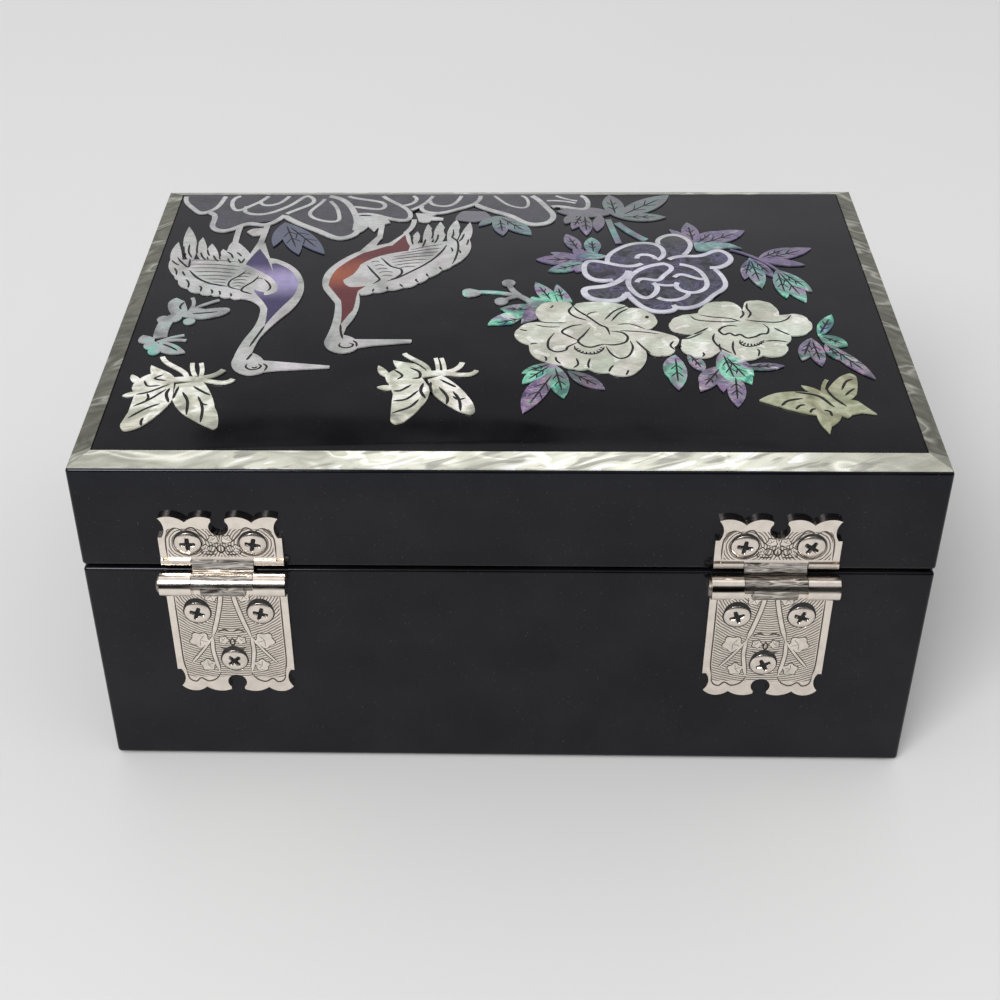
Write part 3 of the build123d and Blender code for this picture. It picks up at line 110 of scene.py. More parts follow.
# Painted reflections on the rolled knuckles, dark and bright streaks, as (position, colour) stops
TONGUE_REFLECTIONS = [(0.36, "3A3632"), (0.44, "B4AEA6"), (0.5, "6E6862"), (0.56, "DAD4CC"),
                  (0.64, "8A847C")]
EAR_REFLECTIONS = [(0.36, "24211F"), (0.5, "4A4642"), (0.6, "9A948C")]
# Finish of the hinge leaves, as the heights of the hatching's hub, if any, and of the screws, the
# hatched (reach across, low, high) and the painted reflections (low, high, reach across, stops)
LEAF_FINISHES = {
    "upper": (0, UPPER_SCREW_HEIGHT, (11.2, 59.6, 67.2), (0, 59.2, 6.7, TONGUE_REFLECTIONS)),
    "lower": (53.6, LOWER_SCREW_HEIGHT, (11.2, 25.6, 51.2), (54.3, 55.8, 20, EAR_REFLECTIONS)),
}

# Engraved lines of the inlay, as (width, points along the line). Cranes first.
CRANE_LINES = [
    (0.3, [(80.3, -29.5), (79.8, -26.5), (79, -24.6)]),
    (0.3, [(79, -30.5), (78.6, -26.5), (77.3, -23.2)]),
    (0.3, [(77.1, -32), (76.8, -28), (76.3, -25.4)]),
    (0.3, [(75.5, -26), (74.8, -23.7), (73.5, -21.6)]),
    (0.28, [(74.1, -27.5), (73.6, -25.4), (73, -24)]),
    (0.3, [(72.1, -24.2), (71.4, -22.4), (70.5, -20.9)]),
    (0.25, [(70.8, -26), (70.5, -24.6), (70.2, -23.4)]),
    (0.3, [(69, -25.9), (67.8, -24.6), (67, -22.4)]),
    (0.3, [(68.3, -22.4), (67.9, -21.2), (67.3, -20)]),
    (0.28, [(66.5, -25.6), (65.7, -24.5), (65, -23.3)]),
    (0.3, [(65.7, -22), (65.2, -20.9), (64.7, -19.9), (64.3, -21), (64.2, -22.3)]),
    (0.32, [(80.9, -23.6), (79.6, -21.2), (77.5, -18.4), (77.4, -20.4), (77.7, -22.8)]),
    (0.28, [(82.1, -22.2), (81, -20.6), (79.8, -19.4)]),
    (0.28, [(80.8, -18.2), (80, -16.4), (79.7, -14.4)]),
    (0.28, [(78.5, -16.4), (78, -15), (77.5, -14)]),
    (0.38, [(76.9, -16.8), (74.5, -13), (71.5, -10.2), (69, -9), (66.4, -8.1)]),
    (0.3, [(77, -12.2), (76.2, -10.8), (75.9, -9.6), (75.8, -7.8)]),
    (0.3, [(73.2, -8.6), (72.6, -7.8), (72.5, -5.8)]),
    (0.3, [(70.2, -6.8), (69.7, -6), (69.6, -4.6)]),
    (0.3, [(68.1, -6), (67.7, -5), (67.6, -4)]),
    (0.28, [(65.2, -4.7), (64.9, -3.9), (64.9, -3)]),
    (0.3, [(62.9, -15.9), (64, -13.6), (65.8, -11.4), (66.3, -9.4), (65.6, -7.6), (62.6, -6)]),
    (0.34, [(59.5, -12.8), (60.5, -10.2), (62.4, -7.6), (62.7, -5.8), (61.2, -4.7), (60, -4)]),
    (0.3, [(57.9, -11.2), (56.5, -8.8), (56, -6.8), (56.5, -5.4)]),
    (0.35, [(55.2, 11), (56.2, 15), (57.5, 20)]),
    (0.35, [(57.4, 25.6), (57, 24.4), (56.5, 22.8)]),
    (0.3, [(57.1, 27.1), (57.2, 28.5), (56, 29.6), (54.5, 29.3), (53.9, 28.2), (54.6, 27.3)]),
    (0.3, [(55.9, 28.6), (55.2, 28.9), (54.7, 28.3)]),
    (0.3, [(53.5, 27.2), (52.6, 28.4), (52.9, 30.2)]),
    (0.28, [(9.6, -31.2), (9.7, -29.6), (10, -28)]),
    (0.3, [(10.7, -34.4), (11.2, -31.8), (11.9, -30)]),
    (0.3, [(11.7, -38), (11.8, -35.6), (11.6, -34)]),
    (0.32, [(13.5, -37), (13.4, -34), (13.6, -32.4), (12.3, -30), (12, -26), (12.5, -21),
            (13.2, -17.8)]),
    (0.3, [(15.7, -37.6), (15.6, -35.6), (15.2, -34)]),
    (0.3, [(17.2, -34.2), (17.3, -31.6), (17.9, -29)]),
    (0.3, [(18.9, -37.2), (18.5, -34.4), (18.7, -31.4)]),
    (0.3, [(20.2, -31.4), (20.4, -29.4), (20.8, -27)]),
    (0.3, [(21.5, -33.4), (21.5, -31.2), (22, -29)]),
    (0.3, [(23.4, -32.8), (23.6, -31), (23.2, -28.4)]),
    (0.36, [(14.9, -28.2), (15.8, -25), (17.6, -21), (20, -17.4), (23, -14), (26, -10.9),
            (28.6, -9.2)]),
    (0.26, [(13.8, -26.8), (13.4, -25.4), (13.4, -24.4)]),
    (0.26, [(12, -25.6), (11.5, -24.6), (11.4, -23.4)]),
    (0.34, [(30.6, -21.4), (29.2, -18.8), (27.9, -16.8), (26.6, -16), (25.4, -15.2), (25.2, -13),
            (26.4, -11), (27.6, -10.2)]),
    (0.34, [(33.7, -17.4), (32.3, -14.4), (30.9, -11.7), (30.3, -10), (31.6, -8)]),
    (0.3, [(21.6, -10.4), (21.5, -9.4), (21, -8.6)]),
    (0.3, [(25.3, -7.8), (24.9, -7), (24.5, -6.4)]),
    (0.28, [(28.2, -6.6), (28.2, -5.8), (28, -5.2)]),
    (0.28, [(31.3, -5.6), (31.5, -4.8), (31.4, -4.2)]),
    (0.28, [(19.2, -13), (19, -12), (18.6, -11.4)]),
    (0.28, [(16.2, -16.4), (16, -15.6), (15.6, -15)]),
    (0.32, [(37.8, 10.8), (37.5, 14), (36.8, 17.2)]),
    (0.3, [(37.2, 18.8), (37.3, 20.2), (36, 21), (34.6, 20.6), (34.3, 19.6), (35.2, 19)]),
    (0.3, [(34.4, 18), (33.6, 19), (33.4, 20.6)]),
]
# Softer lines across the inner wings
BARB_LINES = [
    (0.26, [(77, -21.9), (71, -21.6), (65.6, -20.4)]),
    (0.26, [(77, -19.9), (71, -19.4), (64.8, -18)]),
    (0.26, [(76.8, -17.9), (71, -17.6), (64.6, -16.2)]),
    (0.26, [(75.4, -15.9), (70.6, -15.7), (65.4, -14.6)]),
    (0.26, [(74.2, -13.9), (70, -13.8), (66, -13)]),
    (0.26, [(72.6, -12.1), (69.4, -11.9), (66.8, -11.2)]),
    (0.24, [(70.2, -10.4), (68.6, -10.3), (67, -9.9)]),
    (0.24, [(63.6, -14.2), (62.6, -14.6), (61.6, -14.2)]),
    (0.24, [(64.6, -12.6), (63.2, -13), (61.8, -12.5)]),
    (0.24, [(65.4, -11), (63.8, -11.4), (62, -10.9)]),
    (0.24, [(65.6, -9.5), (64, -9.8), (62.4, -9.3)]),
    (0.24, [(65.2, -8), (64, -8.3), (62.8, -7.9)]),
    (0.24, [(60, -11.4), (59, -11.8), (58.2, -11.2)]),
    (0.26, [(16, -28.4), (20, -27.2), (23.6, -25.4)]),
    (0.26, [(16.2, -26.4), (20.4, -25.4), (26, -23.4)]),
    (0.26, [(17, -24.4), (21.4, -23.6), (27.6, -21.8)]),
    (0.26, [(18, -22.4), (22.4, -21.8), (28, -20.4)]),
    (0.26, [(19, -20.4), (23, -20), (27.8, -18.8)]),
    (0.26, [(20.4, -18.6), (23.8, -18.3), (27.2, -17.3)]),
    (0.26, [(21.8, -16.8), (24, -16.6), (25.8, -16.1)]),
    (0.24, [(33, -19), (31.8, -19.6), (30.8, -19.2)]),
    (0.24, [(32, -17), (30.8, -17.7), (29.6, -17.2)]),
    (0.24, [(31.4, -15.2), (30, -15.9), (28.6, -15.4)]),
    (0.24, [(30.8, -13.5), (29, -14.2), (27.2, -13.7)]),
    (0.24, [(30, -11.8), (28.6, -12.3), (27.2, -11.9)]),
]
PEONY_LINES = [
    (0.34, [(-15.1, 2.8), (-14.2, 5.3), (-15.5, 7.7), (-18.2, 9.3)]),
    (0.34, [(-15.3, 3), (-16.3, 5), (-18.2, 7.3), (-20.9, 11.1), (-22.5, 12.6), (-23.1, 15.6)]),
    (0.22, [(-18.2, 7.2), (-19, 6), (-20.6, 5.4)]),
    (0.3, [(-27.6, 2.6), (-24.6, 5), (-22.2, 9)]),
    (0.3, [(-27.8, 3.8), (-25.6, 6), (-23.7, 9.6)]),
    (0.24, [(-7.6, 10.2), (-10, 10.5), (-13.6, 10.5)]),
    (0.24, [(-6.4, 11.4), (-9, 12.3), (-12, 12.3)]),
    (0.34, [(-17, 11.2), (-14.8, 11.8), (-12.8, 13.5), (-12.5, 14.8), (-13.8, 16.2),
            (-15.9, 18)]),
    (0.34, [(-18.8, 12.5), (-17.2, 15.8), (-15.9, 18.3), (-17, 20.3), (-18.7, 20.9),
            (-20.5, 20), (-21.8, 19.6)]),
    (0.34, [(-10.7, 14.9), (-9.3, 18.2), (-9.3, 21.4), (-11, 22.9), (-13, 22.2), (-13.6, 20.8),
            (-15.9, 18.8)]),
    (0.34, [(-23.4, 13.9), (-25.8, 14.5), (-27, 16.3), (-26.4, 18.6), (-24, 19.8),
            (-21.4, 19.6)]),
    (0.3, [(-15, 20.3), (-15.3, 21.9), (-17, 23.4), (-19.4, 23.6), (-21, 22.2), (-21.6, 20.8)]),
    (0.32, [(-22, 20.5), (-23, 23.5), (-24.8, 25.4), (-26.8, 24.3), (-27.9, 21), (-27.5, 18)]),
    (0.32, [(-28.8, 18), (-30.3, 21), (-31.6, 23.2)]),
    (0.3, [(-37.1, 17.9), (-36.3, 19.8), (-37.1, 21.6)]),
    (0.26, [(-25.4, 13.7), (-30, 14.1), (-34, 14.9)]),
    (0.24, [(-25, 11), (-28, 10.8), (-31.2, 12.9)]),
    (0.3, [(-10.8, 25), (-10.9, 26.4), (-11.8, 27.8)]),
    (0.3, [(-15.3, 25.5), (-15.6, 27.8), (-14.6, 29.4)]),
    (0.3, [(-18.3, 25.5), (-17.8, 27.8), (-17.9, 29.4)]),
    (0.3, [(-23.3, 28.2), (-22.6, 29.4), (-22.2, 30.8)]),
    (0.28, [(-26.4, 30), (-26.2, 31), (-25.8, 32)]),
    (0.28, [(-5.2, 19.8), (-6, 19.4), (-6.8, 19.4)]),
    (0.28, [(-2.9, 13.4), (-3.8, 13.8), (-4.6, 14)]),
    (0.28, [(-8.4, 24.8), (-8.7, 25.8), (-8.5, 26.7)]),
    (0.5, [(-31.8, 7), (-31.9, 7.6), (-31.7, 8.1)]),
    (0.28, [(-10.6, 2.6), (-10.4, 3.2), (-9.9, 3.8)]),
    (0.32, [(-53.9, 3.8), (-54, 5.5), (-53, 7.4)]),
    (0.32, [(-55.4, 0.3), (-55.1, 2.6), (-55.7, 5), (-54.8, 7.2)]),
    (0.26, [(-43.8, 6.2), (-47, 7.1), (-50.5, 7.5), (-53, 8.8)]),
    (0.26, [(-41.7, 6.6), (-43, 8.4), (-46, 9), (-50, 9.1), (-52.8, 8.5)]),
    (0.28, [(-64.8, 5.4), (-63.5, 7.5), (-61, 8.8), (-57, 8.6), (-54.2, 8)]),
    (0.32, [(-60.2, 11.3), (-61.8, 13), (-63.4, 14.3)]),
    (0.36, [(-52, 11), (-50.8, 10.7), (-49, 11.3), (-47.7, 13), (-48.6, 14.7), (-50, 14.1),
            (-51, 15.1), (-52.3, 14.6), (-53.6, 16), (-55.5, 15.4), (-57, 14.2), (-58.4, 13.8),
            (-58.9, 11.6), (-58, 9.8)]),
    (0.32, [(-45.4, 11.8), (-43.5, 13.6), (-41.8, 14.9)]),
    (0.28, [(-44, 14), (-41.2, 16.3), (-39.2, 17)]),
    (0.3, [(-52, 17), (-51.9, 18.5), (-53, 19.6), (-55, 19.3), (-56.4, 18.2), (-57.4, 16.8)]),
    (0.32, [(-46.5, 14.4), (-46, 17), (-47, 20), (-49.6, 22.8)]),
    (0.3, [(-50.4, 17.5), (-50, 20.5), (-50.3, 23.4)]),
    (0.26, [(-55.4, 20.6), (-55.7, 21.8), (-55.2, 23.8)]),
    (0.28, [(-57.5, 17.2), (-60, 16.9), (-62.6, 17.4)]),
    (0.28, [(-43.2, 22.4), (-43.4, 23.4), (-43, 24.3)]),
    (0.28, [(-47.2, 18.8), (-47.1, 20.2), (-47.3, 21.8)]),
    (0.26, [(-38.9, 17.4), (-38.4, 19), (-38.6, 20.6)]),
]
STAMEN_ARCS = [((-18.2, 20.4), 3.6, 25, 165, 9), ((-54.4, 16.2), 3.4, 40, 150, 8)]
BUTTERFLY_LINES = [
    (0.3, [(73, 35), (77, 38), (79.6, 38.9)]),
    (0.3, [(73.4, 37), (76.4, 41), (79.4, 43.6)]),
    (0.3, [(73.8, 42.6), (76.6, 44.6), (79.6, 48)]),
    (0.26, [(77.2, 38.6), (76.7, 40.2), (77, 41.4)]),
    (0.28, [(76.4, 48), (76.6, 49.4), (76.3, 51)]),
    (0.34, [(72.7, 36.6), (73, 39), (72, 42.2)]),
    (0.3, [(70.8, 36), (71.1, 38.6), (71.3, 40.8)]),
    (0.3, [(67.6, 36), (65.6, 37.9), (63.4, 39.6)]),
    (0.32, [(69.6, 38.2), (68, 41.8), (67.4, 47)]),
    (0.32, [(65.3, 41.4), (64.3, 45), (64, 49.8)]),
    (0.26, [(66, 40), (64.8, 42.6), (63.4, 43.4)]),
    (0.28, [(75, 31), (76.6, 32.6), (74, 33.6)]),
    (0.26, [(78.8, 33.4), (77.6, 35.6), (75, 35.4)]),
    (0.3, [(20.4, 36), (22.6, 38.2), (24.2, 38.4)]),
    (0.3, [(18.8, 38.2), (21.2, 41.4), (24, 42.2)]),
    (0.3, [(18.6, 41.6), (20.4, 44.4), (24, 46.6)]),
    (0.34, [(17.9, 35.4), (18.3, 38.4), (17.2, 41.2)]),
    (0.3, [(16.3, 35), (16.3, 37), (15.9, 39)]),
    (0.3, [(14.4, 34), (12, 36), (10.8, 37)]),
    (0.32, [(14.4, 37), (12.6, 40.6), (12.6, 43.4)]),
    (0.32, [(11.4, 38.6), (10, 41.8), (9.6, 45.8)]),
    (0.26, [(11.4, 40.4), (10.2, 41.6), (8.6, 41)]),
    (0.3, [(21, 29.4), (19, 31), (18.8, 33.2), (20.4, 33.6)]),
    (0.26, [(24.6, 30), (22.6, 32.4), (23.6, 34)]),
    (0.32, [(-57.8, 43.1), (-59.4, 41.2), (-62.6, 40.2)]),
    (0.28, [(-60.6, 44.4), (-61.6, 43), (-62.8, 42.6)]),
    (0.28, [(-63.4, 45.6), (-64, 44.4), (-64.8, 44)]),
    (0.34, [(-61.4, 37.8), (-66, 39.2), (-68.8, 43.4)]),
    (0.32, [(-68.2, 36.8), (-69.2, 39.6), (-71.4, 43)]),
    (0.28, [(-74.4, 32.2), (-72.8, 33.4), (-71.4, 36.6)]),
    (0.26, [(-74.2, 36), (-73, 37.2), (-71.8, 38.8)]),
    (0.28, [(-66.4, 44.6), (-67.6, 45), (-67.8, 46.8)]),
    (0.26, [(75.6, -1), (76.2, 1), (75.8, 2.4)]),
    (0.26, [(72.8, 4.6), (70, 4.4), (67, 4)]),
    (0.26, [(77.4, 18), (75.4, 19.4), (73.6, 21)]),
]
# Leaf lobes that carry a rib and side veins, as (root, tip)
LEAF_LOBES = [
    ((56.4, -42), (51, -23.8)), ((56, -41), (44.7, -24)), ((2.5, -45), (-6, -34)),
    ((2, -44), (1, -33.6)), ((-28, -44.5), (-42, -58.4)), ((-28, -44.5), (-40.2, -44.6)),
    ((-27.6, -45), (-26.4, -58.4)), ((-19.6, -46), (-19.8, -33.8)), ((-19, -46), (-16.2, -37.3)),
    ((-17.6, -24.6), (-14.6, -34.3)), ((-21, -23.4), (-20.8, -32.4)), ((-19, -20), (-7, -20.3)),
    ((-19, -18.4), (-9.8, -14.2)), ((-45.8, -29.6), (-45.2, -41.4)), ((-46, -29), (-51.8, -36.6)),
    ((-46.4, -28.6), (-59.2, -37.2)), ((-60.6, -21.8), (-69, -28.2)), ((-61, -21.4), (-74.4, -28.2)),
    ((-58.8, -22), (-56.2, -11.4)), ((-58.6, -22.4), (-59.9, -7.3)), ((-58.9, -22), (-63.3, -12.9)),
    ((-64.4, -16.5), (-65, -2.6)), ((-64.4, -16.5), (-69.3, -1)), ((-64.8, -16), (-71.4, -6.2)),
    ((-10.6, 1), (-6.8, -8.4)), ((-13, 1), (-11.8, -7.4)), ((-5, 8), (4.3, 11.4)),
    ((-6, 4.6), (1.6, 4.1)), ((-10, 27.6), (-3.3, 31.4)), ((-10, 28), (-3.3, 35.4)),
    ((-10.4, 28), (-12.2, 40.9)), ((-10.6, 30.5), (-3.4, 46.4)), ((-13.2, 30.6), (-21, 37.4)),
    ((-37, 23.6), (-36.8, 37.4)), ((-40, 22.8), (-42.9, 30.2)), ((-47.4, 21.8), (-49.4, 35.5)),
    ((-47.6, 23), (-52.6, 34.8)), ((-46.8, 28), (-41.3, 37.8)), ((-49.4, 31), (-48.7, 43.6)),
    ((-51.6, 28.2), (-60.5, 27.3)), ((-70, 14.4), (-75.7, 18.2)), ((-69.8, 14.4), (-74.2, 4.6)),
    ((-68, 15.4), (-64.7, 24.9)), ((-68, 15.4), (-68.7, 27.2)), ((-70.8, 17.6), (-79.5, 31.8)),
    ((-70.8, 17.6), (-73.3, 24.4)),
]

# Engraving on the hinge leaves, as (across from the middle, height above the leaf's low end)
UPPER_LEAF_LINES = [
    [(11.5, 1.9), (11.5, 5), (11.2, 7.4), (9.8, 9.2), (8.6, 9.4)],
    [(8.6, 9.4), (7.4, 8.6), (6.4, 9.4), (5.2, 9.4), (4, 7.6), (2.4, 6), (0, 5.3)],
    [(0, 5.1), (0.9, 4.2), (0, 3), (-0.9, 4.2), (0, 5.1)],
    [(0.9, 4.4), (2, 4.9), (2.9, 4.1), (2, 3.2), (0.9, 3.6)],
    [(3.2, 4.4), (4.2, 3.4), (3.8, 2.6)],
    [(1.2, 2.7), (2.4, 2.5), (3.6, 2.7)],
]
LOWER_LEAF_LINES = [
    [(11.4, 29.5), (11.4, 18), (11.4, 9.4), (11, 6)],
    [(11, 6), (10.6, 3.6), (9.2, 2.8), (8, 3.8), (6.4, 2.9), (4.6, 3.6), (3.4, 5.4)],
    [(0.5, 17.4), (1.5, 18), (2.9, 17.4)],
    [(0.6, 12.8), (1.6, 12.4), (3, 13)],
    [(0, 15.6), (0.5, 14.4), (0, 13.4), (-0.5, 14.4), (0, 15.6)],
]
LOWER_LEAF_BANDS = [
    (0.85, [(1.1, 30), (1.7, 25.6), (2.9, 20.4), (4.2, 16)]),
    (0.75, [(4.2, 16), (4.5, 12.4), (4.1, 8.8), (3.6, 6)]),
    (0.5, [(4.2, 16), (6.6, 12.2), (9.6, 8.2)]),
]
# Small plain leaves on both leaves of a hinge, as (across, height, size, turn in degrees)
LOWER_LEAF_IVY = [(7.1, 15, 2.3, 200), (6, 7.8, 1.7, 160), (3.5, 27.4, 1.5, 320), (1.9, 15, 1.1, 40)]
UPPER_LEAF_IVY = [(1.4, 6.5, 1.1, 60), (3.2, 4.2, 0.9, 20)]


def smooth_path(points, steps=8):
    """Smooth curve through points b and c with neighbours a and d: each span is the cubic with
    tangents (c - a) / 2 and (d - b) / 2 at its ends, steps stations to a span."""
    rows = np.asarray(points, dtype=float)
    padded = np.vstack([2 * rows[0] - rows[1], rows, 2 * rows[-1] - rows[-2]])
    a, b, c, d = (padded[i : i + len(rows) - 1, None] for i in range(4))
    t = np.linspace(0, 1, steps, endpoint=False)[:, None]
    spans = 0.5 * (2 * b + (c - a) * t + (2 * a - 5 * b + 4 * c - d) * t**2
                   + (3 * b - a - 3 * c + d) * t**3)
    return np.vstack([spans.reshape(-1, 2), rows[-1:]])


def grid_faces(rows, columns, closed=False):
    """Quads (a, b, b + columns, a + columns) between neighbours a and b of a grid of points, row
    by row. In a closed grid the last column joins the first."""
    column = np.arange(columns if closed else columns - 1)
    row = np.arange(rows - 1)[:, None] * columns
    a = (row + column).ravel()
    b = (row + (column + 1) % columns).ravel()
    return np.stack([a, b, b + columns, a + columns], axis=1).tolist()


def joined(blocks):
    """Vertices and faces of several blocks of both as one."""
    faces = []
    base = 0
    for points, block_faces in blocks:
        faces += [[base + i for i in face] for face in block_faces]
        base += len(points)
    return np.vstack([points for points, _ in blocks]), faces


def new_piece(name, shape, material, body):
    """Mesh object in metres from vertices in millimetres and faces, riding on a body."""
    mesh = bpy.data.meshes.new(name)
    mesh.from_pydata((shape[0] * MM).tolist(), [], shape[1])
    mesh.shade_smooth()
    mesh.materials.append(material)
    piece = bpy.data.objects.new(name, mesh)
    bpy.context.scene.collection.objects.link(piece)
    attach(piece, body)
    return piece


def ribbon_strips(lines, place, height=0.045, base_lift=0.0):
    """Vertices and faces of low ridged strips along plane curves. A strip is three points wide,
    its sides raised by base_lift and its middle by height more, and place(u, v, lift) sets plane
    points in space. The width tapers to a third at both ends:
    w * min(1, 1/3 + 4t, 1/3 + 4(1 - t))."""
    blocks = []
    for width, points in lines:
        path = smooth_path(points)
        run = np.gradient(path, axis=0)
        run /= np.linalg.norm(run, axis=1)[:, None]
        side = np.stack([-run[:, 1], run[:, 0]], axis=1)
        t = np.linspace(0, 1, len(path))
        half = width / 2 * np.minimum(1, 1 / 3 + 4 * np.minimum(t, 1 - t))
        rails = [place(*(path + side * (across * half)[:, None]).T, lift)
                 for across, lift in ((-1, base_lift), (0, base_lift + height), (1, base_lift))]
        blocks.append((np.stack(rails, axis=1).reshape(-1, 3), grid_faces(len(path), 3)))
    return joined(blocks)


def crown_place(u, v, lift):
    """Points on top of the shells: the crown rises by c (1 - (x/a)^2) (1 - (y/b)^2)."""
    low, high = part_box("lid_top_board")
    half_x = (high[0] - low[0]) / 2 / MM - LAND_WIDTH
    half_y = (high[1] - low[1]) / 2 / MM - LAND_WIDTH
    edge = high[2] / MM - CROWN_HEIGHT
    rise = CROWN_HEIGHT * (1 - (u / half_x) ** 2) * (1 - (v / half_y) ** 2)
    return np.stack([u, v, edge + rise + SHELL_TOP + lift], axis=1)


def srgb(code):
    """Linear colour with full alpha from a six digit sRGB code."""
    parts = [int(code[i : i + 2], 16) / 255 for i in (0, 2, 4)]
    linear = [c / 12.92 if c <= 0.04045 else ((c + 0.055) / 1.055) ** 2.4 for c in parts]
    return (*linear, 1.0)


def fill(node, inputs):
    """Give a node's inputs, by name or in order, values, colour codes or sockets to link."""
    if isinstance(inputs, dict):
        pairs = [(node.inputs[name], value) for name, value in inputs.items()]
    else:
        pairs = zip([socket for socket in node.inputs if socket.enabled], inputs)
    for socket, value in pairs:
        if isinstance(value, bpy.types.NodeSocket):
            node.id_data.links.new(value, socket)
        else:
            socket.default_value = srgb(value) if isinstance(value, str) else value


def add_node(tree, kind, inputs=(), stops=(), **settings):
    """New node with its settings, inputs and, for a ramp, (position, colour code) stops. Returns
    the first of its outputs in use."""
    node = tree.nodes.new("ShaderNode" + kind)
    for name, value in settings.items():
        setattr(node, name, value)
    fill(node, inputs)
    if stops:
        elements = node.color_ramp.elements
        while len(elements) < len(stops):
            elements.new(0.5)
        for element, (position, code) in zip(elements, stops):
            element.position = position
            element.color = srgb(code)
    return next((socket for socket in node.outputs if socket.enabled), None)


def new_material(name):
    """Material with a Principled shader: returns it, add_node for its tree, the shader and a
    socket with the point's place in millimetres."""
    material = bpy.data.materials.new(name)
    material.use_nodes = True
    material.node_tree.nodes.clear()
    add = partial(add_node, material.node_tree)
    surface = add("BsdfPrincipled")
    add("OutputMaterial", {"Surface": surface})
    place = add("VectorMath", {0: add("TexCoord").node.outputs["Object"], "Scale": 1 / MM},
                operation="SCALE")
    return material, add, surface.node, place


def grain(add, place, scale, detail=3.0, distortion=0.0, stretch=(1, 1, 1)):
    """Noise between 0 and 1, scale cells to a millimetre, stretched along the axes."""
    moved = add("Mapping", {"Vector": place, "Scale": stretch})
    return add("TexNoise", {"Vector": moved, "Scale": scale, "Detail": detail,
                            "Distortion": distortion})


def window(add, value, *edges):
    """1 where a value lies between the inner two of four edges, and 0 beyond the outer two."""
    rise = add("MapRange", [value, *edges[:2]], **SMOOTH)
    fall = add("MapRange", [value, *edges[2:], 1, 0], **SMOOTH)
    return add("Math", [rise, fall], **TIMES)


def veil(add, tone, colour, value, *span, **settings):
    """Tone under a colour, which comes in as a value runs over a span (low, high, amount at low,
    amount at high)."""
    amount = add("MapRange", [value, *span], **SMOOTH)
    return add("Mix", [amount, tone, colour], **COLOURS, **settings)


def coat(add, shader, tone, rough, metal=0.0, bumps=()):
    """Colour, roughness and metal of a surface. rough is a number, or the (value, low, high,
    roughness at low, roughness at high) that it follows, and bumps the height, the strength and
    the distance in millimetres of a relief."""
    if isinstance(rough, tuple):
        rough = add("MapRange", rough, **SMOOTH)
    fill(shader, {"Base Color": tone, "Roughness": rough, "Metallic": metal})
    if bumps:
        height, strength, distance = bumps
        normal = add("Bump", {"Height": height, "Strength": strength, "Distance": distance * MM})
        fill(shader, {"Normal": normal})


def lacquer_material(name, gloss, level, tint):
    """Black lacquer with faint waviness and a few specks of dust. gloss is its roughness, level
    how much it mirrors and tint the colour of what it mirrors."""
    material, add, shader, place = new_material(name)
    blotch = grain(add, place, 0.06, 4)
    tone = add("ValToRGB", [blotch], [(0.35, "070709"), (0.65, "121214")])
    tone = veil(add, tone, "6A6A6C", grain(add, place, 2.6, 1), 0.74, 0.78, 0, 0.25)
    coat(add, shader, tone, (blotch, 0.3, 0.7, gloss * 0.85, gloss * 1.2),
         bumps=(grain(add, place, 0.25, 2), 0.1, 0.02))
    fill(shader, {"Specular IOR Level": level, "Specular Tint": tint})
    return material


def shell_material(name, stops, cells=0.09, rough=0.2, metal=0.15, film=0.3, glint_share=0.4):
    """Polished shell: broad cloudy zones, fine growth lines across them, a few painted glints with
    sharp sides, and a film whose tint drifts between pink and green. Returns the material,
    add_node for its tree, the shader, the place and the colour of the shell."""
    material, add, shader, place = new_material(name)
    tone = add("ValToRGB", [grain(add, place, cells, 3, 0.8)], stops)
    growth = grain(add, place, 0.55, 2, 1.2, (1, 3.2, 1))
    lines = add("ValToRGB", [growth], [(0.35, "CFCFCF"), (0.62, "FFFFFF")])
    tone = add("Mix", [0.5, tone, lines], **DARKEN)
    tint = add("ValToRGB", [grain(add, place, 0.11, 1, 0.6)],
               [(0.32, "E8B8DC"), (0.48, "DCDCD4"), (0.66, "A6E0CC")])
    tone = add("Mix", [film, tone, tint], **DARKEN)
    # Painted highlight: white glints where the noise peaks, on the brighter growth lines
    flash = add("MapRange", [grain(add, place, 0.22, 0, 1.0), 0.7, 0.72, 0, glint_share], **SMOOTH)
    flash = add("Math", [flash, add("MapRange", [growth, 0.4, 0.5, 0.5, 1], **SMOOTH)], **TIMES)
    tone = add("Mix", [flash, tone, "FFFFFF"], **COLOURS)
    coat(add, shader, tone, (growth, 0.3, 0.7, rough * 0.8, rough * 1.5), metal,
         (growth, 0.12, 0.03))
    return material, add, shader, place, tone


def toned_along(shell, axis, start, end, toning, share=0.0, plain="808080"):
    """Shell multiplied by a colour where its place along an axis is before the end, in full before
    the start, with a share of a plain colour mixed in there."""
    material, add, shader, place, tone = shell
    patch = add("Mix", [1.0, tone, toning], **DARKEN)
    patch = add("Mix", [share, patch, plain], **COLOURS)
    spots = add("SeparateXYZ", [place]).node.outputs
    fill(shader, {"Base Color": veil(add, tone, patch, spots[axis], start, end, 1, 0)})
    return material


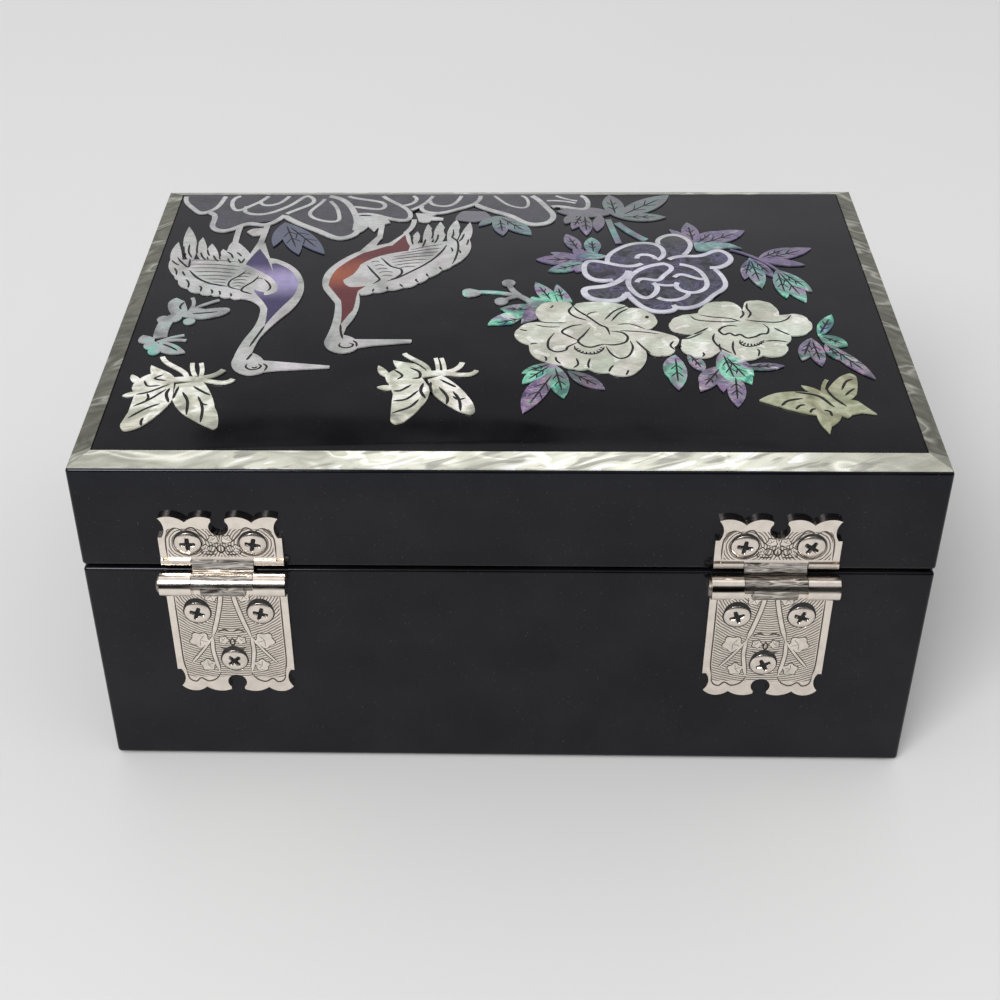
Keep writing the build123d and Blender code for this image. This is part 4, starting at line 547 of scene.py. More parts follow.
def strip_material():
    """Border shell with silky streaks and bright pearly patches. On the strip at the hinges a
    painted highlight is added, strongest in the middle of its length, with painted slanted gleams
    and dusky patches in it, where the lamps are mirrored."""
    material, add, shader, place = new_material("strip_shell")
    spots = add("SeparateXYZ", [place]).node.outputs
    waves = grain(add, place, 0.05, 1, 1.2, (1, 2.2, 1))
    tone = add("ValToRGB", [waves], [
        (0.3, "8C8D82"), (0.42, "A0A194"), (0.5, "86877C"), (0.56, "A8A99C"), (0.6, "E6E6DA"),
        (0.64, "9A9B8E"), (0.74, "B0B1A4")])
    silk = grain(add, place, 0.3, 1, 1.0, (0.5, 1, 1))
    threads = add("ValToRGB", [silk], [(0.35, "B0B0A8"), (0.65, "FFFFFF")])
    tone = add("Mix", [0.4, tone, threads], **DARKEN)
    slanted = add("Mapping", {"Vector": place, "Rotation": (0, 0, radians(20)),
                              "Scale": (14, 1.5, 1)}, vector_type="TEXTURE")
    flow = grain(add, slanted, 0.8, 1, 0.5)
    # Painted highlight on the strip at the hinges, brighter in the middle of its length and darker
    # to its ends
    aside = add("MapRange", [add("Math", [spots[0]], **SIZE), 25, 85, 0.07, -0.1], **SMOOTH)
    patches = add("Math", [grain(add, place, 0.03, 1, 0.4), aside])
    glow = veil(add, tone, "FFFFF0", patches, 0.4, 0.62, 0.26, 0.55, blend_type="ADD")
    # Painted slanted gleams and dusky patches within that highlight
    for colour, flows, spread in (("FFFFFF", (0.57, 0.62), (0.48, 0.54, 0.1, 1)),
                                  ("5E5C62", (0.46, 0.36), (0.42, 0.52, 0.12, 0.5))):
        amount = add("MapRange", [patches, *spread], **SMOOTH)
        glow = add("Mix", [add("Math", [add("MapRange", [flow, *flows], **SMOOTH), amount],
                               **TIMES), glow, colour], **COLOURS)
    tone = veil(add, tone, glow, spots[1], 58.5, 59.3)
    coat(add, shader, tone, (silk, 0.3, 0.7, 0.2, 0.34), 0.75, (silk, 0.3, 0.1))
    return material


def abalone_material(name, stops):
    """Abalone: shell in strong colours with dark shadows. It turns violet on the front half of the
    lid and slate towards +X, and a painted reflection greys it near the front edge."""
    material, add, shader, place, tone = shell_material(name, stops, 0.16)
    spots = add("SeparateXYZ", [place]).node.outputs
    pale = add("ValToRGB", [grain(add, place, 0.2, 1)], [(0.35, "9FA8B8"), (0.6, "C9C3CF")])
    shadows = grain(add, place, 0.13, 2, 0.6)
    for colour, *span in (
        (pale, grain(add, place, 0.4, 2, 2.0, (1, 2.6, 1)), 0.5, 0.7, 0, 0.45),
        ("44464E", shadows, 0.48, 0.64, 0, 0.6),
        ("66607E", spots[1], -16, 0, 0.5, 0),
        # Painted reflection: grey over the leaves near the front edge
        ("6C6C6E", spots[1], -44, -34, 0.75, 0),
        ("51586A", spots[0], 20, 40, 0, 0.85),
    ):
        tone = veil(add, tone, colour, *span)
    fill(shader, {"Base Color": tone})
    return material


def dye_and_sheen_material(name, ends, middle, low, high):
    """Dyed shell that goes from one colour at its ends to another between two places along y; the
    lighter middle is partly the dye and partly painted sheen.
    """
    material, add, shader, place, cloudy = shell_material(
        name, [(0.3, "9A9A9A"), (0.7, "FFFFFF")], 0.2)
    spots = add("SeparateXYZ", [place]).node.outputs
    streaks = grain(add, place, 0.25, 2, 0.6, (1, 0.4, 1))
    amount = add("Math", [window(add, spots[1], low - 5, low + 3, high - 4, high + 5),
                          add("MapRange", [streaks, 0.2, 0.7, 0.6, 1], **SMOOTH)], **TIMES)
    tone = add("Mix", [amount, ends, middle], **COLOURS)
    fill(shader, {"Base Color": add("Mix", [0.35, tone, cloudy], **DARKEN)})
    return material


def nickel_material(name, code, rough):
    """Nickel plate, slightly warm, with faint rubbing marks."""
    material, add, shader, place = new_material(name)
    wear = grain(add, place, 0.5, 4)
    tone = veil(add, code, "9C928A", wear, 0.35, 0.7, 0, 0.25)
    coat(add, shader, tone, (wear, 0.3, 0.7, rough * 0.8, rough * 1.3), 1.0,
         (grain(add, place, 1.2, 3), 0.1, 0.02))
    return material


def cloth_material(name, code, shade, sheen, tint, cells):
    """Pile cloth such as velvet or felt, with cells of pile to a millimetre and a tinted sheen."""
    material, add, shader, place = new_material(name)
    pile = grain(add, place, cells, 3)
    tone = veil(add, code, shade, grain(add, place, 0.16, 3, 0.6, (1, 0.4, 1)), 0.3, 0.7, 0, 0.4)
    tone = veil(add, tone, shade, pile, 0.3, 0.7, 0, 0.4)
    coat(add, shader, tone, 0.9, bumps=(pile, 0.5, 0.12))
    fill(shader, {"Sheen Weight": sheen, "Sheen Roughness": 0.4, "Sheen Tint": tint})
    return material


def board_material():
    """Plain sanded board, seen only inside its joints."""
    material, add, shader, place = new_material("bare_board_look")
    tone = add("ValToRGB", [grain(add, place, 0.5, 4, 0.4, (0.08, 1, 1))],
               [(0.3, "8A6B48"), (0.7, "B39368")])
    coat(add, shader, tone, 0.65)
    return material


def hatched_material(node, code, rough):
    """Nickel for a hinge leaf, polished along its border and hatched inside. The hatching lies on
    circles HATCH_PITCH apart, round a hub, or round the nearer of two screws where there is no
    hub. A band of painted reflections, dark and bright streaks, lies over the part that is rolled
    round the pin."""
    material, add, shader, place = new_material(f"{node}_look")
    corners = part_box(node)
    middle = (corners[0][0] + corners[1][0]) / 2 / MM
    hub, screw_height, field, band = LEAF_FINISHES[node.split("_")[-2]]
    spots = add("SeparateXYZ", [place]).node.outputs
    across = add("Math", [add("Math", [spots[0], middle], **LESS)], **SIZE)
    beside = add("Math", [across, 0.0 if hub else LEAF_SCREW_OFFSET], **LESS)
    above = add("Math", [spots[2], hub or screw_height], **LESS)
    squares = add("Math", [beside, beside, add("Math", [above, above], **TIMES)], **TIMES_PLUS)
    uneven = add("MapRange", [grain(add, place, 0.5, 1), 0.2, 0.8, -0.12, 0.12], **SMOOTH)
    distance = add("Math", [add("Math", [squares], operation="SQRT"), uneven])
    phase = add("Math", [distance, 2 * pi / HATCH_PITCH], **TIMES)
    groove = add("MapRange", [add("Math", [phase], operation="SINE"), -0.1, 0.7], **SMOOTH)
    reach, low, high = field
    for share in (add("MapRange", [across, reach - 0.2, reach, 1, 0], **SMOOTH),
                  window(add, spots[2], low, low + 0.3, high - 0.3, high)):
        groove = add("Math", [groove, share], **TIMES)
    tone = veil(add, code, "A39A92", grain(add, place, 0.5, 4), 0.35, 0.7, 0, 0.2)
    depth = add("Math", [groove, 0.8], **TIMES)
    tone = add("Mix", [depth, tone, "4A423C"], **COLOURS)
    low, high, reach, stops = band
    # Painted reflection: dark and bright streaks across the rolled part stand in for the room
    # mirrored in the curved metal
    streaks = add("ValToRGB", [grain(add, place, 1.1, 2, 0.3, (0.1, 1, 1))], stops)
    rolled = add("Math", [window(add, spots[2], low, low + 0.4, high - 0.3, high),
                          add("MapRange", [across, reach - 0.1, reach + 0.1, 1, 0], **SMOOTH)],
                 **TIMES)
    tone = add("Mix", [rolled, tone, streaks], **COLOURS)
    coat(add, shader, tone, (groove, 0, 1, rough, 0.5), 1.0,
         (add("Math", [1, groove], **LESS), 0.5, 0.06))
    return material


def mirror_material():
    """Silvered glass with a hint of haze."""
    material, add, shader, place = new_material("mirror_look")
    haze = grain(add, place, 0.03, 2)
    tone = add("ValToRGB", [haze], [(0.3, "ECEFEF"), (0.7, "F2F4F4")])
    coat(add, shader, tone, (haze, 0.3, 0.7, 0.008, 0.014), 1.0)
    return material


def line_material(name, code, rough=0.5):
    """Dark filler in engraved lines, a little uneven; also painted shade in screw recesses and round
    screw heads.
    """
    material, add, shader, place = new_material(name)
    tone = veil(add, code, "3A3A3C", grain(add, place, 0.8, 2), 0.4, 0.8, 0, 0.3)
    coat(add, shader, tone, rough)
    return material


def paint(node, material):
    """Give a CAD node its material through its object slots."""
    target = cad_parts[node]
    if not target.material_slots:
        target.data.materials.append(None)
    for slot in target.material_slots:
        slot.link = "OBJECT"
        slot.material = material


def number(name, description, default, **settings):
    """Setting of a property group."""
    return bpy.props.FloatProperty(name=name, description=description, default=default, **settings)


class BoxLook(bpy.types.PropertyGroup):
    """Colours and finishes of the box."""

    panel_roughness: number("Panel roughness", "Roughness of the lacquered panel", 0.06, **SHARE)
    wall_roughness: number("Wall roughness", "Roughness of the lacquered walls", 0.12, **SHARE)
    metal_roughness: number("Metal roughness", "Roughness of the nickel fittings", 0.2, **SHARE)
    engraving_width: number("Engraving width", "Width of the lines on the hinge leaves", 0.0003,
                            unit="LENGTH")
    screw_span: number("Recess span", "Tip to tip span of the cross recess of a screw", 0.0034,
                       unit="LENGTH")


class StageLook(bpy.types.PropertyGroup):
    """Lamp, floor and surroundings."""

    key_power: number("Key lamp", "Power of the soft lamp on the hinge side", 52.0, unit="POWER")
    floor_tone: number("Floor tone", "Lightness of the floor", 0.64, **SHARE)
    room_tone: number("Room tone", "Light from all around", 0.76, min=0.0, max=4.0)
    backdrop_tone: number("Backdrop tone", "Lightness of the wall beyond the floor", 0.6, **SHARE)


class JEWELRYBOX_OT_finishes(bpy.types.Operator):
    """Give every CAD piece its procedural material"""

    bl_idname = "jewelrybox.finishes"
    bl_label = "Finishes"
    bl_options = {"REGISTER", "UNDO"}

    def execute(self, context):
        look = context.scene.jewelry_box
        rim = shell_material("rim_shell", [(0.3, "B4B4C0"), (0.6, "D6D6E2")], 0.15, film=0.05,
                             glint_share=0.0)
        butter = shell_material(
            "butter_shell", [(0.3, "94958C"), (0.42, "BCBCAC"), (0.5, "D8D8C8"), (0.58, "FCFCF6"),
                             (0.66, "DADACA"), (0.76, "B0B0A2")], 0.14, film=0.1)
        dusk = shell_material(
            "dusk_shell", [(0.3, "1C1C24"), (0.42, "3A3A46"), (0.5, "565662"), (0.56, "3E3A50"),
                           (0.62, "625E7C"), (0.7, "34323F")], 0.22, film=0.12, glint_share=0.0)
        fill(dusk[2], {"Specular IOR Level": 0.25})
        looks = {
            "lid_top_board": lacquer_material("panel_lacquer", look.panel_roughness, 0.29,
                                              "E6E8FF"),
            "base_floor_board": board_material(),
            "base_felt": cloth_material("felt_look", "202022", "101012", 0.2, "8A8A8C", 2.0),
            "mirror": mirror_material(),
            "inlay_crane_shells": shell_material(
                "silver_shell", [(0.3, "8E8F90"), (0.45, "B4B4B2"), (0.58, "C4C3C4"),
                                 (0.7, "D4D2D2")], 0.1, film=0.12, glint_share=0.0)[0],
            "inlay_crane_body_purple": dye_and_sheen_material("purple_shell_look", "3E3660", "ACA0CC",
                                                     -15, -5),
            "inlay_crane_body_red": dye_and_sheen_material("red_shell_look", "64262C", "A4583C", -18, -9),
            "inlay_peonies_white": shell_material(
                "ivory_shell", [(0.3, "B0B2A4"), (0.5, "CACCBE"), (0.64, "DCDED2"),
                                (0.7, "F2F4EC")], 0.12, film=0.15)[0],
            # Painted reflection: towards the front edge the peonies are greyed, as if veiled by the
            # room mirrored in the gloss coat
            "inlay_peonies_outline": toned_along(rim, 1, -31, -27, "E8E8DC"),
            "inlay_peonies_fill": toned_along(dusk, 1, -31, -27, "D0D0D0", 0.6, "525256"),
            "inlay_leaves_green": abalone_material(
                "green_abalone_look", [(0.3, "5A7E9C"), (0.4, "3AA688"), (0.46, "A0E6CA"),
                                       (0.52, "68B8A0"), (0.58, "A6B2B0"), (0.66, "9A7EAC"),
                                       (0.74, "5A5868")]),
            "inlay_leaves_rose": abalone_material(
                "rose_abalone_look", [(0.28, "2C2C38"), (0.4, "5A5476"), (0.46, "94749E"),
                                      (0.52, "74748A"), (0.58, "B08AA6"), (0.64, "568C82"),
                                      (0.74, "3C3C48")]),
            # The butterflies are darker and more olive towards -X
            "inlay_butterflies": toned_along(butter, 0, -50, -40, "BEC0AA"),
            "inlay_sprigs": shell_material(
                "sprig_shell", [(0.3, "7C7E80"), (0.46, "A2A4A6"), (0.53, "AAB4B4"),
                                (0.58, "7EBEB0"), (0.64, "B6D2CC"), (0.7, "9494A6")],
                0.14, film=0.05, glint_share=0.0)[0],
        }
        strip = strip_material()
        walls = lacquer_material("wall_lacquer", look.wall_roughness, 0.27, "F4F3FF")
        nickel = nickel_material("nickel_look", "E9DDD4", look.metal_roughness)
        # Painted shade: the pins are darker nickel, standing in for the shade inside the barrel that
        # shows through the notches
        pin_shade = nickel_material("pin_nickel_painted_shade", "8E867E", 0.35)
        velvet = cloth_material("velvet_look", "7C1424", "4E0A18", 0.7, "D0606E", 3.0)
        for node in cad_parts:
            if node in looks:
                paint(node, looks[node])
            elif node.startswith("pearl_strip"):
                paint(node, strip)
            elif node.endswith(("_upper_leaf", "_lower_leaf")):
                paint(node, hatched_material(node, "EDE3D8", look.metal_roughness))
            elif node.endswith("_pin") and node.startswith("hinge_"):
                paint(node, pin_shade)
            elif node.startswith(("hinge_", "clasp_")):
                paint(node, nickel)
            elif node.endswith("_wall"):
                paint(node, walls)
            else:
                paint(node, velvet)
        return {"FINISHED"}


class JEWELRYBOX_OT_inlay_lines(bpy.types.Operator):
    """Engrave the shells with fine black lines"""

    bl_idname = "jewelrybox.inlay_lines"
    bl_label = "Inlay lines"
    bl_options = {"REGISTER", "UNDO"}

    def execute(self, context):
        lines = CRANE_LINES + PEONY_LINES + self.leaf_veins() + self.stamens()
        lines = [(width * LINE_WEIGHT, path) for width, path in lines]
        lines += [(width * WING_WEIGHT, path) for width, path in BUTTERFLY_LINES]
        barbs = [(width * BARB_WEIGHT, path) for width, path in BARB_LINES]
        for name, drawn, material in (
            ("inlay_engraving", lines, line_material("engraved_black", "0C0C0E")),
            ("inlay_barbs", barbs, line_material("engraved_grey", "2E2E2E")),
        ):
            new_piece(name, ribbon_strips(drawn, crown_place), material, "lid")
        return {"FINISHED"}

    def leaf_veins(self):
        """A rib over most of each lobe, and two pairs of side veins at 0.6 radians to it."""
        lines = []
        turn = np.array([[np.cos(0.6), -np.sin(0.6)], [np.sin(0.6), np.cos(0.6)]])
        for root, tip in LEAF_LOBES:
            start = np.array(root, dtype=float)
            run = np.array(tip, dtype=float) - start
            lines.append((0.26, [start + run * 0.12, start + run * 0.45, start + run * 0.78]))
            for along in (0.3, 0.5):
                for matrix in (turn, turn.T):
                    vein = matrix @ run * 0.17
                    foot = start + run * along
                    lines.append((0.18, [foot, foot + vein * 0.5, foot + vein]))
        return lines

    def stamens(self):
        """Short ticks that end on an arc and stand at equal angles."""
        lines = []
        length = 1.1
        for centre, radius, first, last, count in STAMEN_ARCS:
            for angle in np.radians(np.linspace(first, last, count)):
                outward = np.array([np.cos(angle), np.sin(angle)])
                foot = np.array(centre) + outward * (radius - length)
                lines.append((0.24, [foot, foot + outward * 0.5, foot + outward * length]))
        return lines


class JEWELRYBOX_OT_hinge_engraving(bpy.types.Operator):
    """Engrave the hinge leaves"""

    bl_idname = "jewelrybox.hinge_engraving"
    bl_label = "Hinge engraving"
    bl_options = {"REGISTER", "UNDO"}

    def execute(self, context):
        look = context.scene.jewelry_box
        width = look.engraving_width / MM
        metals = (nickel_material("engraved_nickel", "5C544C", 0.5),
                  nickel_material("band_nickel", "EFE6DC", look.metal_roughness))
        shade = line_material("screw_shadow", "0A0A0B")
        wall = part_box("base_back_wall")[1][1] / MM
        for side in ("left", "right"):
            low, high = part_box(f"hinge_{side}_upper_leaf")
            middle = (low[0] + high[0]) / 2 / MM
            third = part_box(f"hinge_{side}_lower_screws")[0][2] / MM + SCREW_HEAD_RADIUS
            pair = (-LEAF_SCREW_OFFSET, LEAF_SCREW_OFFSET)
            for leaf, body, foot, drawing, spots, shadow_reach in (
                ("upper", "lid", UPPER_SCREW_HEIGHT - UPPER_LEAF_DROP,
                 (UPPER_LEAF_LINES, [], UPPER_LEAF_IVY),
                 [(u, UPPER_SCREW_HEIGHT) for u in pair], UPPER_SHADOW_REACH),
                ("lower", "box_base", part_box(f"hinge_{side}_lower_leaf")[0][2] / MM,
                 (LOWER_LEAF_LINES, LOWER_LEAF_BANDS, LOWER_LEAF_IVY),
                 [(u, LOWER_SCREW_HEIGHT) for u in pair] + [(0.0, third)], LOWER_SHADOW_REACH),
            ):
                place = self.face_place(middle, wall, foot)
                self.engrave(f"hinge_{side}_{leaf}", place, body, width, drawing, metals)
                # Dark rings round the screws, with painted shadow above each head
                shadow_rings = [self.screw_ring_and_shadow(u, z - foot, shadow_reach, place) for u, z in spots]
                new_piece(f"hinge_{side}_{leaf}_rings", joined(shadow_rings), shade, body)
        return {"FINISHED"}

    def face_place(self, middle, wall, foot):
        """Function that sets plane points on the face of a leaf."""
        def place(u, v, lift):
            """Points on the face: u to the left as seen from the back, v up from the foot."""
            return np.stack([middle - u, wall + LEAF_THICKNESS + lift + 0 * u, foot + v], axis=1)

        return place

    def engrave(self, name, place, body, width, drawing, metals):
        """Dark lines, plain bands and plain ivy leaves on dark ones, all on both sides of the
        middle and raised a few hundredths of a millimetre over the leaf."""
        lines, bands, ivy = drawing
        dark, plain = metals
        mirrored = [(band, path) for band, line in bands for path in self.both_sides([line])]
        veins = []
        for spread, metal, base_lift, ending in ((BAND_SIDE, dark, 0.01, "band_sides"),
                                                 (0.0, plain, 0.05, "bands")):
            blocks = []
            if mirrored:
                wide = [(band + spread, path) for band, path in mirrored]
                blocks.append(ribbon_strips(wide, place, 0.03, base_lift))
            for across, height, size, turn in ivy:
                for sign in (-1, 1):
                    petals, petal_faces, petal_veins = self.ivy_leaf(
                        sign, across, height, size + spread / 2, turn)
                    blocks.append((place(*petals.T, base_lift + 0.02), petal_faces))
                    if metal is plain:
                        veins += petal_veins
            new_piece(f"{name}_{ending}", joined(blocks), metal, body)
        strips = [(width, line) for line in self.both_sides(lines)]
        new_piece(f"{name}_engraving", ribbon_strips(strips + veins, place, 0.05, 0.05), dark,
                  body)

    def both_sides(self, lines):
        """The lines and their mirror images across the middle."""
        return lines + [[(-u, v) for u, v in line] for line in lines]

    def ivy_leaf(self, sign, across, height, size, turn):
        """Plain leaf with the outline r = s (0.88 + 0.12 cos 5a), and its dark veins."""
        angles = np.linspace(0, 2 * pi, IVY_STEPS, endpoint=False)
        radius = size * (0.88 + 0.12 * np.cos(5 * angles))
        heading = angles + radians(turn)
        foot = np.array([sign * across, height])
        rim = foot + np.stack([sign * radius * np.cos(heading), radius * np.sin(heading)], axis=1)
        faces = [(i, (i + 1) % IVY_STEPS, IVY_STEPS)[::sign] for i in range(IVY_STEPS)]
        veins = []
        for part in (0, 2 * pi / 5, -2 * pi / 5):
            tip = radians(turn) + part
            run = np.array([sign * np.cos(tip), np.sin(tip)]) * size * 0.75
            veins.append((0.2, [foot, foot + run * 0.5, foot + run]))
        return np.vstack([rim, foot]), faces, veins

    def screw_ring_and_shadow(self, across, height, wide, place):
        """Dark ring round a screw head, 0.12 + k max(0, sin a)^2 mm wide: thin all round, and
        widened above the head into a painted shadow."""
        angles = np.linspace(0, 2 * pi, SHADOW_RING_STEPS, endpoint=False)
        # Painted shadow: the ring widens above the head, where the head's rim shades its dished hole
        width = 0.12 + wide * np.maximum(0, np.sin(angles)) ** 2
        radii = SCREW_HEAD_RADIUS + np.stack([np.full(SHADOW_RING_STEPS, -0.25), width])
        u = across + radii * np.cos(angles)
        v = height + radii * np.sin(angles)
        return place(u.ravel(), v.ravel(), 0.07), grid_faces(2, SHADOW_RING_STEPS, closed=True)


class JEWELRYBOX_OT_screws(bpy.types.Operator):
    """Cut cross recesses into the domed screw heads, with painted shade in them"""

    bl_idname = "jewelrybox.screws"
    bl_label = "Screws"
    bl_options = {"REGISTER", "UNDO"}

    def execute(self, context):
        span = context.scene.jewelry_box.screw_span / MM
        steel = nickel_material("screw_nickel", "E8DED4", 0.22)
        recess = line_material("screw_recess_painted_shade", "0C0B0B", 0.6)
        seed = np.random.default_rng(TURN_SEED)
        rows = [(f"hinge_{side}_{leaf}_screws", 1, "lid" if leaf == "upper" else "box_base")
                for side in ("left", "right") for leaf in ("upper", "lower")]
        rows += [("clasp_lid_screws", -1, "lid"), ("clasp_catch_screws", -1, "box_base")]
        for name, facing, body in rows:
            low, high = (np.array(corner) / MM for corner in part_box(name))
            left, right = low[0] + SCREW_HEAD_RADIUS, high[0] - SCREW_HEAD_RADIUS
            top = high[2] - SCREW_HEAD_RADIUS
            spots = [(left, top), (right, top)]
            # A tall set has a third screw below its pair
            if high[2] - low[2] > 2.5 * SCREW_HEAD_RADIUS:
                spots.append(((left + right) / 2, low[2] + SCREW_HEAD_RADIUS))
            wall_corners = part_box("base_back_wall" if facing > 0 else "base_front_wall")
            wall = wall_corners[1 if facing > 0 else 0][1] / MM
            blocks = []
            marks = []
            for x, z in spots:
                points, faces, dark = self.screw(span, seed.uniform(0, pi / 2))
                u, v, w = points.T
                blocks.append((np.stack([x - facing * u, wall + facing * w, z + v], axis=1), faces))
                marks += dark
            piece = new_piece(f"{name}_look", joined(blocks), steel, body)
            # Painted shade: faces inside the cross recess, and the small disc in its middle, take
            # the dark material
            piece.data.materials.append(recess)
            piece.data.polygons.foreach_set("material_index", marks)
            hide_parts(name)
        return {"FINISHED"}

    def screw(self, span, turn):
        """One screw along +Z. Rings run from the middle of the head out over its dome, down
        under the rim to the shank and its point. The dome is h (1 - (r/R)^5). Its recess is
        0.75 (1 - 0.45 r/a) deep where min(|u|, |v|) is under 0.5 - 0.16 r/a, out to a = span / 2.
        Returns the vertices, the faces and a 1 for each face inside the recess, which gets painted
        shade."""
        angles = np.linspace(0, 2 * pi, SCREW_STEPS, endpoint=False)
        reach = span / 2
        r = np.concatenate([np.linspace(0.08, reach + 0.2, 22),
                            np.linspace(reach + 0.4, SCREW_HEAD_RADIUS, 9)])[:, None]
        dome = SCREW_RIM + (SCREW_TOP - SCREW_RIM) * (1 - (r / SCREW_HEAD_RADIUS) ** 5)
        near = np.minimum(np.abs(r * np.cos(angles - turn)), np.abs(r * np.sin(angles - turn)))
        slot = np.clip((0.5 - 0.16 * r / reach - near) / 0.12 + 0.5, 0, 1)
        slot *= np.clip((reach - r) / 0.15, 0, 1)
        sunk = slot > 0.2
        tail = np.array([[SCREW_SHANK_RADIUS, SCREW_SEAT],
                         [SCREW_SHANK_RADIUS, SCREW_POINT - SCREW_LENGTH],
                         [0.3 * SCREW_SHANK_RADIUS, -SCREW_LENGTH]])
        radii = np.vstack([r, tail[:, :1]])
        heights = np.vstack([dome - slot * 0.75 * (1 - 0.45 * r / reach),
                             np.repeat(tail[:, 1:], SCREW_STEPS, axis=1)])
        rings = np.stack([radii * np.cos(angles), radii * np.sin(angles), heights], axis=2)
        vertices = rings.reshape(-1, 3)
        faces = [[a, d, c, b] for a, b, c, d in grid_faces(len(rings), SCREW_STEPS, closed=True)]
        faces.append(list(range(SCREW_STEPS)))
        faces.append(list(range(len(vertices)))[: -SCREW_STEPS - 1 : -1])
        marks = np.zeros(len(faces), dtype=int)
        inside = sunk[:-1] & np.roll(sunk[1:], -1, axis=1)
        marks[: inside.size] = inside.ravel()
        marks[-2] = 1
        return vertices, faces, marks.tolist()


class JEWELRYBOX_OT_ring_rolls(bpy.types.Operator):
    """Pad the ring rolls"""

    bl_idname = "jewelrybox.ring_rolls"
    bl_label = "Ring rolls"
    bl_options = {"REGISTER", "UNDO"}

    def execute(self, context):
        low, high = (np.array(corner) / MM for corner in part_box("ring_rolls"))
        width = (high[1] - low[1] - (ROLL_COUNT - 1) * ROLL_GAP) / ROLL_COUNT
        roll, faces = self.roll(high[0] - low[0], width, high[2] - low[2])
        blocks = []
        for index in range(ROLL_COUNT):
            middle = low[1] + width / 2 + index * (width + ROLL_GAP)
            blocks.append((roll + (low[0], middle, low[2]), faces))
        piece = new_piece("ring_rolls_padded", joined(blocks), bpy.data.materials["velvet_look"],
                          "box_base")
        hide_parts("ring_rolls")
        return {"FINISHED"}

    def roll(self, length, width, height):
        """One padded roll along +X on its foot. Its section is a superellipse, |cos|^0.55 wide and
        |sin|^0.75 high, drawn in to 0.72 over the last 4 mm of its ends."""
        x = length * (0.5 - 0.5 * np.cos(np.linspace(0, pi, ROLL_STATIONS)))
        end = np.minimum(np.minimum(x, length - x) / 4, 1)
        squeeze = 0.72 + 0.28 * np.sqrt(np.clip(1 - (1 - end) ** 2, 0, 1))[:, None]
        t = np.linspace(0, 2 * pi, ROLL_STEPS, endpoint=False)
        y = width / 2 * np.sign(np.cos(t)) * np.abs(np.cos(t)) ** 0.55 * squeeze
        z = height / 2 * (1 + np.sign(np.sin(t)) * np.abs(np.sin(t)) ** 0.75) * squeeze
        points = np.stack([np.repeat(x[:, None], ROLL_STEPS, axis=1), y, z], axis=2).reshape(-1, 3)
        faces = grid_faces(ROLL_STATIONS, ROLL_STEPS, closed=True)
        faces.append(list(range(ROLL_STEPS))[::-1])
        faces.append(list(range(len(points)))[-ROLL_STEPS:])
        return points, faces


